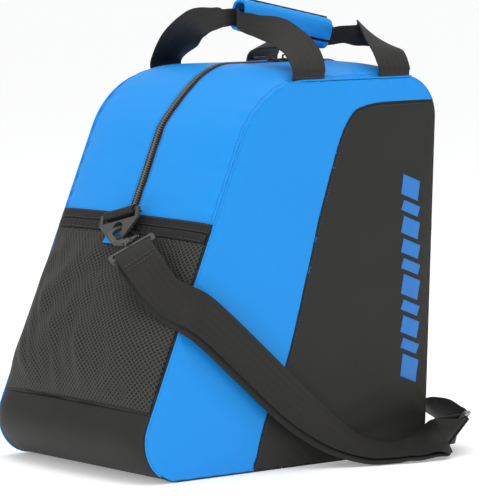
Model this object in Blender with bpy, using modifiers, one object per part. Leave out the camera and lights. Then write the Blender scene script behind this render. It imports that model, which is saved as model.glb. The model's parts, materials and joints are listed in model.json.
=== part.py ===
"""Ski boot bag: a sewn fabric shell with a crowned top, a zip, a mesh pocket, two carry handles
in a grip wrap, and a shoulder strap on two swivel hooks.

Frame: +Z up, +X towards the rear, the pocket end at -X, origin at the centre of the base.
All sizes are in metres.
"""

import math

import bmesh
import bpy
from mathutils import Matrix, Vector

# Overall sizes of the shell
LENGTH = 0.397  # along the base
HEIGHT = 0.40  # base to the top seam
WIDTH = 0.256  # between the side panels' outer faces
FRONT_LEAN = 0.171  # how far the front has come back at the top
REAR_LEAN = 0.014  # how far the rear stands out at the top
CROWN = 0.0135  # how far the gusset swells past its seams
SIDE_SWELL = 0.006  # how far the side panels swell
FRONT_BOTTOM_RADIUS = 0.042
FRONT_TOP_RADIUS = 0.090
REAR_TOP_RADIUS = 0.042
REAR_BOTTOM_RADIUS = 0.032

# Cloth and gaps
FABRIC = 0.0016
GAP = 0.0003
BOARD = 0.003  # the stiffener in the base
BOARD_MARGIN = 0.012
BOARD_OVERHANG = 0.004  # how far it runs in over the front corner's curve

# Heights of the seams
BASE_SEAM = 0.069
FRONT_SEAM = 0.2475
REAR_SEAM = 0.235
TAPE_HEIGHT = 0.0097
COLOUR_SEAM_TOP = 0.3745  # where the dark part of a side panel ends

# Mesh pocket
POCKET_TOP = 0.2375
POCKET_BULGE = 0.020
POCKET_MOUTH = 0.0012  # how far the elastic stands off at the middle
MESH = 0.0012
STRAP_PRESS = ((-0.022, 0.236), (-0.125, 0.164))  # the line along which hook and strap press the mesh in
STRAP_PRESS_WIDTH = 0.036
STRAP_PRESS_DEPTH = 0.80
BINDING_HEIGHT = 0.0095
BINDING = 0.0022
PATCH = (0.030, 0.018)
PATCH_PLACE = (0.008, 0.2335)

# Zip
ZIP_OPENING = 0.0130
CHAIN_WIDTH = 0.0066
CHAIN = 0.0016
ZIP_TAPE = 0.0010
SLIDER_LENGTH = 0.0125
SLIDER_WIDTH = 0.0090
SLIDER_WALL = 0.0010
SLIDER_TOP = 0.0014
BAIL_HEIGHT = 0.0052
BAIL_WIDTH = 0.0016
BAIL_BAR = 0.0016
PULL_LENGTH = 0.0235
PULL_WIDTH = 0.0070
PULL = 0.0018
PULL_SLOT = (0.0100, 0.0034)
SLIDER_PLACES = {"front": 0.0945, "rear": 0.1120}

# Webbing
WEBBING = 0.0016
STRAP_WIDTH = 0.041
HANDLE_WIDTH = 0.042
TAB_WIDTH = 0.045
STRAP_LAG = 0.007  # how far the strap's hidden layer hangs below the layer over it

# Triangular ring and swivel hook, the same at both ends
RING = 0.0030
RING_WIDTH = 0.059
RING_BAR = 0.0042
RING_SIDE = 0.0045
RING_SLOT = 0.0070
RING_DEPTH = 0.0300
RING_POINT = 0.0100
EYE_PLACE = 0.0180
EYE_RADIUS = 0.0078
HOOK_RADIUS = 0.0115
HOOK_LEG = 0.0190
HOOK_BAR = 0.0050
HOOK_THICKNESS = 0.0041
HOOK_BASE = 0.0062
BARREL_LENGTH = 0.0080
BARREL_RADIUS = 0.0050
SHANK_RADIUS = 0.0022
LOOP_BAR = 0.0042
LOOP_GAP = 0.0062
LOOP_SIDE = 0.0044
LOOP_THICKNESS = 0.0046
GATE = 0.0034
GATE_SPRING = 0.0007
RUNNING = 0.0006  # clearance of a piece that turns

# Strap adjuster
ADJUSTER_BAR = 0.0040
ADJUSTER_SLOT = 0.0100
ADJUSTER_THICKNESS = 0.0034

# Grip wrap
GRIP_LENGTH = 0.122
GRIP_HEIGHT = 0.033
GRIP_DEPTH = 0.024
GRIP = 0.0026
GRIP_CENTRE = Vector((0.1060, 0.0, HEIGHT + 0.0540))
GRIP_TILT = math.radians(11.0)  # the rear end hangs lower
HANDLE_LANE = 0.0042  # how far each handle lies to its side inside the grip
HANDLE_DROP = -0.0035
HANDLE_FOLD = 0.43  # the folded handle's height as a share of its width

# Tilt and turn of the front ring and hook
RING_TURN = math.radians(16.0)
HOOK_DROP = math.radians(25.0)
HOOK_LIFT = 0.19  # outward slope of the hook's axis
CLAW_TURN = math.radians(42.0)
LOOP_TURN = math.radians(31.0)
FRONT_BAR_PLACE = (0.0015, 0.2540, 0.0222)  # across, height, stand-off
REAR_BAR_PLACE = (0.0, 0.2420, 0.0265)

COLOURS = {
    "blue fabric": ((0.040, 0.330, 0.840), 0.62, 0.0),
    "charcoal fabric": ((0.050, 0.049, 0.044), 0.75, 0.0),
    "webbing": ((0.075, 0.072, 0.064), 0.72, 0.0),
    "mesh": ((0.055, 0.055, 0.055), 0.70, 0.0),
    "black trim": ((0.018, 0.018, 0.019), 0.70, 0.0),
    "hard plastic": ((0.060, 0.057, 0.054), 0.38, 0.0),
    "black plastic": ((0.012, 0.012, 0.013), 0.32, 0.0),
    "zip": ((0.110, 0.095, 0.080), 0.45, 0.0),
    "spring steel": ((0.780, 0.780, 0.790), 0.22, 1.0),
    "board": ((0.060, 0.060, 0.062), 0.60, 0.0),
}

PARTS = "ski_boot_bag"
CUTTERS = "cutters"


# ---------------------------------------------------------------- scene and materials


def clear_scene():
    for thing in list(bpy.data.objects):
        bpy.data.objects.remove(thing)
    for name in (PARTS, CUTTERS):
        bpy.context.scene.collection.children.link(bpy.data.collections.new(name))


def material(name):
    found = bpy.data.materials.get(name)
    if found:
        return found
    colour, roughness, metallic = COLOURS[name]
    made = bpy.data.materials.new(name)
    made.use_nodes = True
    shader = made.node_tree.nodes["Principled BSDF"]
    shader.inputs["Base Color"].default_value = (*colour, 1.0)
    shader.inputs["Roughness"].default_value = roughness
    shader.inputs["Metallic"].default_value = metallic
    return made


def add(name, data, finish, matrix=None, collection=PARTS):
    """A new object for a mesh or a curve."""
    made = bpy.data.objects.new(name, data)
    bpy.data.collections[collection].objects.link(made)
    made.matrix_world = matrix or Matrix()
    if finish:
        data.materials.append(material(finish))
    return made


def cutter(name, data, matrix=None):
    made = add(name, data, None, matrix, CUTTERS)
    made.hide_render = True
    made.display_type = "WIRE"
    return made


def boolean(piece, other, operation):
    change = piece.modifiers.new(other.name, "BOOLEAN")
    change.operation = operation
    change.solver = "EXACT"
    change.object = other


def round_edges(piece, width, segments=2, angle=40.0):
    change = piece.modifiers.new("rounded edges", "BEVEL")
    change.width = width
    change.segments = segments
    change.limit_method = "ANGLE"
    change.angle_limit = math.radians(angle)


# ---------------------------------------------------------------- shapes


def grid_mesh(name, rows):
    """A mesh through rows of points, each row as long as the others."""
    made = bpy.data.meshes.new(name)
    across = len(rows[0])
    points = [point for row in rows for point in row]
    faces = []
    for i in range(len(rows) - 1):
        for j in range(across - 1):
            first = i * across + j
            faces.append((first, first + 1, first + across + 1, first + across))
    made.from_pydata(points, [], faces)
    return made


def sheet(name, rows, thickness, finish, offset=-1.0, outward=None):
    """Cloth: an open surface given its thickness. Its faces are turned to agree with outward."""
    mesh = grid_mesh(name, rows)
    facing = sum((face.normal * face.area for face in mesh.polygons), Vector())
    if outward is not None and facing.dot(outward) < 0:
        mesh.flip_normals()
    for face in mesh.polygons:
        face.use_smooth = True
    piece = add(name, mesh, finish)
    change = piece.modifiers.new("thickness", "SOLIDIFY")
    change.thickness = thickness
    change.offset = offset
    change.use_even_offset = True
    return piece


def block_mesh(name, low, high):
    made = bpy.data.meshes.new(name)
    shape = bmesh.new()
    bmesh.ops.create_cube(shape, size=1.0)
    middle = (Vector(low) + Vector(high)) / 2
    size = Vector(high) - Vector(low)
    for point in shape.verts:
        point.co = Vector(a * b for a, b in zip(point.co, size)) + middle
    shape.to_mesh(made)
    shape.free()
    return made


def rod_mesh(name, start, end, radius, sides=16):
    """A round bar between two points."""
    made = bpy.data.meshes.new(name)
    shape = bmesh.new()
    run = Vector(end) - Vector(start)
    place = Matrix.Translation((Vector(start) + Vector(end)) / 2)
    place = place @ run.to_track_quat("Z", "Y").to_matrix().to_4x4()
    bmesh.ops.create_cone(
        shape, cap_ends=True, segments=sides, radius1=radius, radius2=radius, depth=run.length, matrix=place
    )
    shape.to_mesh(made)
    shape.free()
    return made


def plate_mesh(name, outline, holes, thickness):
    """A flat plate in XY, centred on Z = 0, from an outline and its holes, as a closed mesh."""
    curve = bpy.data.curves.new(name, "CURVE")
    curve.dimensions = "2D"
    curve.fill_mode = "BOTH"
    curve.extrude = thickness / 2
    for loop in (outline, *holes):
        spline = curve.splines.new("POLY")
        spline.points.add(len(loop) - 1)
        for point, (x, y) in zip(spline.points, loop):
            point.co = (x, y, 0.0, 1.0)
        spline.use_cyclic_u = True
    guide = bpy.data.objects.new(name, curve)
    bpy.context.scene.collection.objects.link(guide)
    graph = bpy.context.evaluated_depsgraph_get()
    made = bpy.data.meshes.new_from_object(guide.evaluated_get(graph))
    bpy.data.objects.remove(guide)
    shape = bmesh.new()
    shape.from_mesh(made)
    bmesh.ops.remove_doubles(shape, verts=shape.verts, dist=1e-6)
    bmesh.ops.recalc_face_normals(shape, faces=shape.faces)
    shape.to_mesh(made)
    shape.free()
    made.materials.clear()
    return made


def rounded(corners, steps=5):
    """A closed outline with its corners rounded. Each corner is (x, y, radius)."""
    points = []
    count = len(corners)
    for i, (x, y, radius) in enumerate(corners):
        here = Vector((x, y))
        before = (Vector(corners[i - 1][:2]) - here).normalized()
        after = (Vector(corners[(i + 1) % count][:2]) - here).normalized()
        if radius <= 0:
            points.append(tuple(here))
            continue
        half = before.angle(after) / 2
        centre = here + (before + after).normalized() * radius / math.sin(half)
        start = here + before * radius / math.tan(half) - centre
        turn = math.pi - 2 * half
        side = 1.0 if before.x * after.y - before.y * after.x < 0 else -1.0
        for k in range(steps + 1):
            angle = side * turn * k / steps
            c, s = math.cos(angle), math.sin(angle)
            points.append((centre.x + c * start.x - s * start.y, centre.y + s * start.x + c * start.y))
    return points


def circle(x, y, radius, sides=20):
    turns = [2 * math.pi * k / sides for k in range(sides)]
    return [(x + radius * math.cos(a), y + radius * math.sin(a)) for a in turns]


def rectangle(x0, y0, x1, y1, radius):
    return rounded([(x0, y0, radius), (x1, y0, radius), (x1, y1, radius), (x0, y1, radius)], 3)


def axes(origin, x_axis, y_axis):
    """A matrix whose X and Y run along two directions; the second is squared up to the first."""
    x_axis = x_axis.normalized()
    z_axis = x_axis.cross(y_axis).normalized()
    y_axis = z_axis.cross(x_axis)
    turn = Matrix((x_axis, y_axis, z_axis)).transposed().to_4x4()
    return Matrix.Translation(origin) @ turn


# ---------------------------------------------------------------- the bag's outline

TOP_FRONT_X = -LENGTH / 2 + FRONT_LEAN
TOP_REAR_X = LENGTH / 2 + REAR_LEAN
FRONT_UP = Vector((FRONT_LEAN, 0.0, HEIGHT)).normalized()
FRONT_OUT = Vector((-FRONT_UP.z, 0.0, FRONT_UP.x))
REAR_UP = Vector((REAR_LEAN, 0.0, HEIGHT)).normalized()
REAR_OUT = Vector((REAR_UP.z, 0.0, -REAR_UP.x))
SEAM_Y = WIDTH / 2 - FABRIC - GAP  # where the gusset's edge stops, inside the side panel


def front_x(z):
    return -LENGTH / 2 + FRONT_LEAN * z / HEIGHT


def rear_x(z):
    return LENGTH / 2 + REAR_LEAN * z / HEIGHT


def bag_outline():
    """(x, z) points from the middle of the base round the front, the top and the rear, back to the middle."""
    corners = [
        (-LENGTH / 2, 0.0, FRONT_BOTTOM_RADIUS),
        (TOP_FRONT_X, HEIGHT, FRONT_TOP_RADIUS),
        (TOP_REAR_X, HEIGHT, REAR_TOP_RADIUS),
        (LENGTH / 2, 0.0, REAR_BOTTOM_RADIUS),
    ]
    turned = rounded(corners, 6)
    ends = [(0.0, 0.0)] + turned + [(0.0, 0.0)]
    points = [Vector(ends[0])]
    for end in ends[1:]:
        run = Vector(end) - points[-1]
        steps = max(1, round(run.length / 0.035))
        start = points[-1].copy()
        points += [start + run * (k + 1) / steps for k in range(steps)]
    return points


OUTLINE = bag_outline()


def lengths_along(points):
    total = [0.0]
    for a, b in zip(points, points[1:]):
        total.append(total[-1] + (b - a).length)
    return total


DISTANCES = lengths_along(OUTLINE)


def outline_at(distance):
    """The point on the outline at a distance round it."""
    for i in range(len(OUTLINE) - 1):
        if distance <= DISTANCES[i + 1]:
            share = (distance - DISTANCES[i]) / (DISTANCES[i + 1] - DISTANCES[i])
            return OUTLINE[i].lerp(OUTLINE[i + 1], max(0.0, share))
    return OUTLINE[-1].copy()


def distance_at(height, side):
    """How far round the outline it reaches this height, on the front or the rear."""
    pairs = list(zip(OUTLINE, OUTLINE[1:], DISTANCES, DISTANCES[1:]))
    for a, b, start, end in pairs if side == "front" else reversed(pairs):
        if min(a.y, b.y) <= height <= max(a.y, b.y) and abs(b.y - a.y) > 1e-9 and (a.x < 0) == (side == "front"):
            return start + (end - start) * (height - a.y) / (b.y - a.y)
    raise ValueError("the outline does not reach this height")


def outward_at(distance):
    step = 0.002
    run = outline_at(distance + step) - outline_at(distance - step)
    return Vector((-run.y, 0.0, run.x)).normalized()


def crown_at(outward, across):
    """How far the gusset swells, by the way it faces and by across, from -1 at one seam to 1 at the other."""
    facing = abs(outward.x) ** 5 + max(outward.z, 0.0) ** 5
    shape = 0.55 * (1 - across**2) + 0.45 * (1 - across**12)
    return CROWN * facing * shape


def gusset_point(distance, y, lift=0.0):
    """A point on the gusset's outer face, lifted off it by lift."""
    outward = outward_at(distance)
    flat = outline_at(distance)
    rise = crown_at(outward, y / (WIDTH / 2)) + lift
    return Vector((flat.x, y, flat.y)) + outward * rise


def stops_between(start, end):
    """Distances round the outline between two of them, at its own corners."""
    inner = [d for d in DISTANCES if start + 0.004 < d < end - 0.004]
    return [start, *inner, end]


def gusset_strip(name, start, end, ys, thickness, finish, lift=0.0):
    rows = [[gusset_point(d, y, lift) for y in ys] for d in stops_between(start, end)]
    middle = outward_at((start + end) / 2)
    return sheet(name, rows, thickness, finish, outward=middle)


# ---------------------------------------------------------------- shell


def spread(low, high, count):
    return [low + (high - low) * k / (count - 1) for k in range(count)]


def gusset_columns(low, high):
    shares = (-1.0, -0.93, -0.78, -0.45, 0.0, 0.45, 0.78, 0.93, 1.0)
    inner = [SEAM_Y * share for share in shares if low + 0.004 < SEAM_Y * share < high - 0.004]
    return [low, *inner, high]


def colour_seam_x(z):
    """Where the blue front of a side panel meets its dark rear, at a height."""
    points = [
        (0.0, -0.040),
        (0.056, -0.024),
        (0.108, 0.001),
        (0.184, 0.024),
        (0.261, 0.048),
        (0.307, 0.064),
        (0.343, 0.078),
        (0.363, 0.092),
        (0.370, 0.105),
        (0.374, 0.135),
        (COLOUR_SEAM_TOP, rear_x(COLOUR_SEAM_TOP)),
    ]
    for (z0, x0), (z1, x1) in zip(points, points[1:]):
        if z <= z1:
            return x0 + (x1 - x0) * (z - z0) / (z1 - z0)
    return rear_x(z)


def side_edges(z):
    """The outline's two x values at a height."""
    crossings = []
    for a, b in zip(OUTLINE, OUTLINE[1:]):
        if min(a.y, b.y) <= z <= max(a.y, b.y) and abs(b.y - a.y) > 1e-9:
            crossings.append(a.x + (b.x - a.x) * (z - a.y) / (b.y - a.y))
    return min(crossings), max(crossings)


def side_swell(x, z):
    low, high = side_edges(min(max(z, 0.0005), HEIGHT - 0.0005))
    along = max(0.0, 1 - ((x - (low + high) / 2) / ((high - low) / 2)) ** 2)
    up = max(0.0, 1 - (2 * z / HEIGHT - 1) ** 2)
    return SIDE_SWELL * math.sqrt(along * up)


def side_panel(name, side, heights, start_of, end_of, finish):
    rows = []
    for z in heights:
        xs = spread(start_of(z), end_of(z), 7)
        rows.append([Vector((x, side * (WIDTH / 2 + side_swell(x, z)), z)) for x in xs])
    return sheet(name, rows, FABRIC, finish, outward=Vector((0, side, 0)))


def side_panels():
    base = 0.0008
    top = HEIGHT - 0.0008
    low = [base, 0.004, 0.012, 0.024, 0.042, 0.069, 0.108, 0.146, 0.184, 0.222, 0.261, 0.307]
    dark = low + [0.330, 0.343, 0.353, 0.363, 0.370, COLOUR_SEAM_TOP - 0.001]
    blue = low + [0.330, 0.343, 0.353, 0.363, 0.370, 0.374, COLOUR_SEAM_TOP + 0.001, 0.388, 0.396, top]
    for label, side in (("near", -1), ("far", 1)):
        side_panel(
            f"side_panel_front_{label}",
            side,
            blue,
            lambda z: side_edges(z)[0],
            lambda z: min(colour_seam_x(z) - GAP, side_edges(z)[1]),
            "blue fabric",
        )
        side_panel(
            f"side_panel_rear_{label}",
            side,
            dark,
            lambda z: colour_seam_x(z) + GAP,
            lambda z: side_edges(z)[1],
            "charcoal fabric",
        )


def gussets():
    front_seam = distance_at(FRONT_SEAM + TAPE_HEIGHT / 2, "front")
    rear_seam = distance_at(REAR_SEAM + TAPE_HEIGHT / 2, "rear")
    base_front = distance_at(BASE_SEAM, "front")
    base_rear = distance_at(BASE_SEAM, "rear")
    half_gap = GAP / 2
    for label, side in (("near", -1), ("far", 1)):
        ys = gusset_columns(ZIP_OPENING / 2, SEAM_Y)
        gusset_strip(
            f"upper_gusset_{label}",
            front_seam + half_gap,
            rear_seam - half_gap,
            [side * y for y in ys],
            FABRIC,
            "blue fabric",
        )
        tape = [side * y for y in (GAP, ZIP_OPENING / 4, ZIP_OPENING / 2 - GAP)]
        gusset_strip(
            f"zip_tape_{label}", front_seam + half_gap, rear_seam - half_gap, tape, ZIP_TAPE, "black trim"
        )
    full = gusset_columns(-SEAM_Y, SEAM_Y)
    chain = [-CHAIN_WIDTH / 2, 0.0, CHAIN_WIDTH / 2]
    above_tape = TAPE_HEIGHT / 2 + 0.001
    gusset_strip(
        "zip_chain",
        distance_at(FRONT_SEAM + TAPE_HEIGHT / 2 + above_tape, "front"),
        distance_at(REAR_SEAM + TAPE_HEIGHT / 2 + above_tape, "rear"),
        chain,
        CHAIN,
        "zip",
        lift=GAP + CHAIN,
    )
    gusset_strip(
        "front_lower_panel", base_front + half_gap, front_seam - half_gap, full, FABRIC, "charcoal fabric"
    )
    gusset_strip("rear_lower_panel", rear_seam + half_gap, base_rear - half_gap, full, FABRIC, "charcoal fabric")
    ends = [base_front, base_rear]
    distances = [0.0, *[d for d in DISTANCES if 0.004 < d < ends[0] - 0.004], ends[0] - half_gap]
    around = [ends[1] + half_gap, *[d for d in DISTANCES if ends[1] + 0.004 < d < DISTANCES[-1] - 0.004]]
    rows = [[gusset_point(d, y) for y in full] for d in around + distances]
    base = sheet("base_panel", rows, FABRIC, "charcoal fabric", outward=Vector((0, 0, -1)))
    return base


def tapes():
    """Webbing over the seams of the front and the rear, and over the raw seams inside the sides."""
    full = gusset_columns(-SEAM_Y, SEAM_Y)
    for side, height in (("front", FRONT_SEAM), ("rear", REAR_SEAM)):
        ends = sorted((distance_at(height, side), distance_at(height + TAPE_HEIGHT, side)))
        gusset_strip(f"{side}_tape", *ends, full, WEBBING, "webbing", lift=WEBBING + GAP)
    inset = 0.010
    for label, side in (("near", -1), ("far", 1)):
        ys = [side * (SEAM_Y - 0.0015), side * (SEAM_Y - 0.0015 - inset)]
        rows = [
            [gusset_point(d, y, -(FABRIC + 0.0014)) for y in ys]
            for d in stops_between(distance_at(BASE_SEAM + 0.01, "front"), distance_at(BASE_SEAM + 0.01, "rear"))
        ]
        sheet(f"seam_binding_{label}", rows, 0.0010, "black trim", outward=Vector((0, 0, 1)))


def base_board():
    front_angle = math.atan2(HEIGHT, FRONT_LEAN)
    rear_angle = math.pi - math.atan2(HEIGHT, REAR_LEAN)
    low = front_x(0.0) + FRONT_BOTTOM_RADIUS / math.tan(front_angle / 2) - BOARD_OVERHANG
    high = rear_x(0.0) - REAR_BOTTOM_RADIUS / math.tan(rear_angle / 2)
    half = SEAM_Y - BOARD_MARGIN
    mesh = plate_mesh("base_board", rectangle(low, -half, high, half, 0.02), [], BOARD)
    bottom = FABRIC + GAP + 0.0006
    add("base_board", mesh, "board", Matrix.Translation((0, 0, bottom + BOARD / 2)))


# ---------------------------------------------------------------- mesh pocket


def pocket_lift(up, across):
    """How far the pocket's mesh stands off the front panel; up is 0 at its base and 1 at its mouth."""
    hollow = max(0.0, math.sin(math.pi * min(up, 1.0) ** 0.75))
    edge = max(0.0, 1 - across**4) ** 0.7
    mouth = POCKET_MOUTH * up**3
    place = Vector((across * SEAM_Y, BASE_SEAM + up * (POCKET_TOP - BASE_SEAM)))
    start, end = (Vector(point) for point in STRAP_PRESS)
    share = (place - start).dot(end - start) / (end - start).length_squared
    off_line = (place - start.lerp(end, min(1.0, max(0.0, share)))).length
    pressed = STRAP_PRESS_DEPTH * math.exp(-((off_line / STRAP_PRESS_WIDTH) ** 2))
    return MESH + GAP + edge * (POCKET_BULGE * hollow * (1 - pressed) + mouth)


def mesh_pocket():
    bottom = distance_at(BASE_SEAM + 0.002, "front")
    top = distance_at(POCKET_TOP - GAP, "front")
    columns = [SEAM_Y * 0.985 * share for share in (-1, -0.94, -0.8, -0.5, 0, 0.5, 0.8, 0.94, 1)]
    rows = []
    for up in (0, 0.06, 0.18, 0.34, 0.5, 0.66, 0.82, 0.94, 1):
        distance = bottom + (top - bottom) * up
        rows.append([gusset_point(distance, y, pocket_lift(up, y / columns[-1])) for y in columns])
    sheet("mesh_pocket", rows, MESH, "mesh", outward=FRONT_OUT)
    rows = []
    for height in (POCKET_TOP, POCKET_TOP + BINDING_HEIGHT):
        distance = distance_at(height, "front")
        across = [y / columns[-1] for y in columns]
        lifts = [BINDING + 2 * GAP + POCKET_MOUTH * (1 - t**4) ** 0.7 for t in across]
        rows.append([gusset_point(distance, y, lift) for y, lift in zip(columns, lifts)])
    sheet("pocket_binding", rows, BINDING, "black trim", outward=FRONT_OUT)


def pocket_patch():
    """A small blue reinforcement sewn to the mesh under the hook."""
    width, height = PATCH
    across, middle = PATCH_PLACE
    bottom = distance_at(BASE_SEAM + 0.002, "front")
    top = distance_at(POCKET_TOP - GAP, "front")
    edge = SEAM_Y * 0.985
    rows = []
    for z in spread(middle - height / 2, middle + height / 2 - 0.0015, 3):
        distance = distance_at(z, "front")
        up = (distance - bottom) / (top - bottom)
        ys = spread(across - width / 2, across + width / 2, 4)
        clear = 0.0018 + 0.0006
        rows.append([gusset_point(distance, y, pocket_lift(up, y / edge) + clear) for y in ys])
    sheet("pocket_patch", rows, 0.0010, "blue fabric", outward=FRONT_OUT)


# ---------------------------------------------------------------- zip sliders


def top_of_chain():
    return HEIGHT + CROWN + GAP + CHAIN


def slider(label, x, facing):
    """A zip slider over the chain, with a bail for its pull. Facing is the way its pull lies, -1 or 1."""
    under = top_of_chain() + GAP
    half = SLIDER_LENGTH / 2
    side = SLIDER_WIDTH / 2
    body = block_mesh(f"slider_{label}", (-half, -side, 0), (half, side, SLIDER_TOP))
    piece = add(f"slider_{label}", body, "black plastic", Matrix.Translation((x, 0, under)))
    round_edges(piece, 0.0005)
    for hand in (-1, 1):
        inner = CHAIN_WIDTH / 2 + GAP
        wall = block_mesh(
            f"slider_wall_{label}_{hand}",
            (-half + 0.0012, min(hand * inner, hand * side), -CHAIN),
            (half - 0.0012, max(hand * inner, hand * side), SLIDER_TOP / 2),
        )
        boolean(piece, cutter(f"slider_wall_{label}_{hand}", wall, piece.matrix_world), "UNION")
    arch = rounded([(-0.0052, 0, 0), (0.0052, 0, 0), (0.0052, BAIL_HEIGHT, 0.002), (-0.0052, BAIL_HEIGHT, 0.002)], 3)
    low = 0.0052 - BAIL_BAR
    window = rectangle(-low, SLIDER_TOP * 0.6, low, BAIL_HEIGHT - BAIL_BAR, 0.0008)
    bail = plate_mesh(f"bail_{label}", arch, [window], BAIL_WIDTH)
    upright = Matrix.Rotation(math.pi / 2, 4, "X")
    lift = Matrix.Translation((0, 0, SLIDER_TOP * 0.5))
    boolean(piece, cutter(f"bail_{label}", bail, piece.matrix_world @ lift @ upright), "UNION")
    bar_height = under + SLIDER_TOP + 0.0016
    pull(label, x + facing * 0.0022, bar_height, facing)


def pull(label, x, z, facing):
    """The pull, lying flat: a plate with a slot that the bail stands through, pivoting at the slot's end."""
    slot_length, slot_width = PULL_SLOT
    end = PULL_LENGTH
    near = -PULL / 2
    outline = rounded(
        [
            (near, -PULL_WIDTH * 0.36, 0.0008),
            (end, -PULL_WIDTH / 2, 0.0026),
            (end, PULL_WIDTH / 2, 0.0026),
            (near, PULL_WIDTH * 0.36, 0.0008),
        ],
        4,
    )
    slot = rectangle(PULL / 2, -slot_width / 2, PULL / 2 + slot_length, slot_width / 2, 0.0008)
    grip = rectangle(PULL / 2 + slot_length + 0.003, -0.0018, end - 0.0024, 0.0018, 0.0012)
    mesh = plate_mesh(f"pull_{label}", outline, [slot, grip], PULL * 0.8)
    turn = Matrix.Rotation(0 if facing > 0 else math.pi, 4, "Z")
    add(f"pull_{label}", mesh, "black plastic", Matrix.Translation((x, 0, z)) @ turn)


# ---------------------------------------------------------------- rings, hooks and loops


class Clip:
    """Where one end's ring, hook and loop lie: the ring's bar, its eye, and the hook's axis."""

    def __init__(self, label, bar, along_bar, towards_eye, hook_axis, claw_side, loop_side):
        self.label = label
        self.bar = bar
        self.along_bar = along_bar.normalized()
        self.towards_eye = towards_eye.normalized()
        self.eye = bar + self.towards_eye * EYE_PLACE
        self.hook_axis = hook_axis.normalized()
        self.claw_side = self.square(claw_side)
        self.loop_side = self.square(loop_side)

    def square(self, direction):
        """A direction squared up to the hook's axis."""
        return (direction - self.hook_axis * direction.dot(self.hook_axis)).normalized()

    def claw_frame(self):
        """X towards the gate, Y along the hook's axis, origin where the claw passes the eye."""
        return axes(self.eye, self.claw_side, self.hook_axis)

    def loop_frame(self):
        """X along the loop's bars, Y along the hook's axis, origin at the loop's near end."""
        return axes(self.eye + self.hook_axis * LOOP_START, self.loop_side, self.hook_axis)

    def strap_bar(self):
        return self.eye + self.hook_axis * (LOOP_START + LOOP_BAR * 1.5 + LOOP_GAP)


LOOP_START = HOOK_RADIUS + HOOK_LEG + HOOK_BASE + BARREL_LENGTH + 2 * RUNNING


def on_front(across, height, off):
    return Vector((front_x(height), across, height)) + FRONT_OUT * off


def on_rear(across, height, off):
    return Vector((rear_x(height), across, height)) + REAR_OUT * off


def front_clip():
    y_axis = Vector((0, 1, 0))
    along = -y_axis * math.cos(RING_TURN) + FRONT_UP * math.sin(RING_TURN)
    down = -y_axis * math.sin(RING_TURN) - FRONT_UP * math.cos(RING_TURN)
    hook = -y_axis * math.cos(HOOK_DROP) - FRONT_UP * math.sin(HOOK_DROP) + FRONT_OUT * HOOK_LIFT
    side = -y_axis * math.sin(HOOK_DROP) + FRONT_UP * math.cos(HOOK_DROP)
    claw = side * math.cos(CLAW_TURN) - FRONT_OUT * math.sin(CLAW_TURN)
    loop = side * math.cos(LOOP_TURN) - FRONT_OUT * math.sin(LOOP_TURN)
    return Clip("front", on_front(*FRONT_BAR_PLACE), along, down, hook, claw, loop)


def rear_clip():
    across = Vector((0, 1, 0))
    down = Vector((0, 0, -1))
    claw = across * math.cos(CLAW_TURN) - REAR_OUT * math.sin(CLAW_TURN)
    return Clip("rear", on_rear(*REAR_BAR_PLACE), across, down, down, claw, across)


def ring(clip):
    """A trapezoid plate: a bar for the webbing tab, then a point with the hook's eye."""
    half = RING_WIDTH / 2
    shoulder = RING_BAR / 2 + RING_SLOT + 0.002
    outline = rounded(
        [
            (-half, -RING_BAR / 2, 0.002),
            (half, -RING_BAR / 2, 0.002),
            (half, shoulder, 0.003),
            (RING_POINT, RING_DEPTH, 0.004),
            (-RING_POINT, RING_DEPTH, 0.004),
            (-half, shoulder, 0.003),
        ],
        4,
    )
    inner = half - RING_SIDE
    slot = rectangle(-inner, RING_BAR / 2, inner, RING_BAR / 2 + RING_SLOT, 0.0012)
    eye = circle(0, EYE_PLACE + 0.0005, EYE_RADIUS)
    mesh = plate_mesh(f"ring_{clip.label}", outline, [slot, eye], RING)
    piece = add(f"ring_{clip.label}", mesh, "hard plastic", axes(clip.bar, clip.along_bar, clip.towards_eye))
    round_edges(piece, 0.0009)


def ring_tab(clip):
    """A webbing loop sewn to the bag that goes round the ring's bar and through its slot."""
    frame = axes(clip.bar, clip.along_bar, clip.towards_eye)
    inward = -1.0 if frame.to_3x3().col[2].dot(FRONT_OUT if clip.label == "front" else REAR_OUT) > 0 else 1.0
    radius = max(RING_BAR, RING) / 2 * 1.25 + 0.0004 + WEBBING / 2
    back = TAB_REACH[clip.label]
    path = [(-0.0006, inward * back)]
    for k in range(9):
        angle = math.pi * (-0.5 + 0.2 + k * 0.125 * 1.15)
        path.append((-radius * math.cos(angle), -inward * radius * math.sin(angle)))
    path.append((0.0040, -inward * 0.0006))
    path.append((0.0036, inward * back * 0.72))
    half = TAB_WIDTH / 2
    rows = [[frame @ Vector((x, along, out)) for x in spread(-half, half, 3)] for along, out in path]
    sheet(f"ring_tab_{clip.label}", rows, WEBBING, "webbing", offset=0.0)


TAB_REACH = {"front": 0.0098, "rear": 0.0102}


def claw_outline():
    """The hook's C in its own plane: origin at the eye, Y along the hook's axis."""
    outer = HOOK_RADIUS + HOOK_BAR / 2
    inner = HOOK_RADIUS - HOOK_BAR / 2
    centre = HOOK_RADIUS
    bottom = centre + HOOK_LEG
    outside = []
    inside = []
    for k in range(13):
        angle = math.pi * k / 12
        outside.append((-outer * math.cos(angle), centre - outer * math.sin(angle)))
        inside.append((-inner * math.cos(angle), centre - inner * math.sin(angle)))
    base = [
        (-outer, bottom - 0.002),
        (-BARREL_RADIUS * 1.15, bottom + HOOK_BASE),
        (BARREL_RADIUS * 1.15, bottom + HOOK_BASE),
        (outer - 0.0012, bottom + 0.0020),
        (outer - 0.0012, bottom),
        (-inner * 0.2, bottom),
        (-inner, bottom - 0.004),
    ]
    return outside + list(reversed(inside)) + list(reversed(base))


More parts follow.
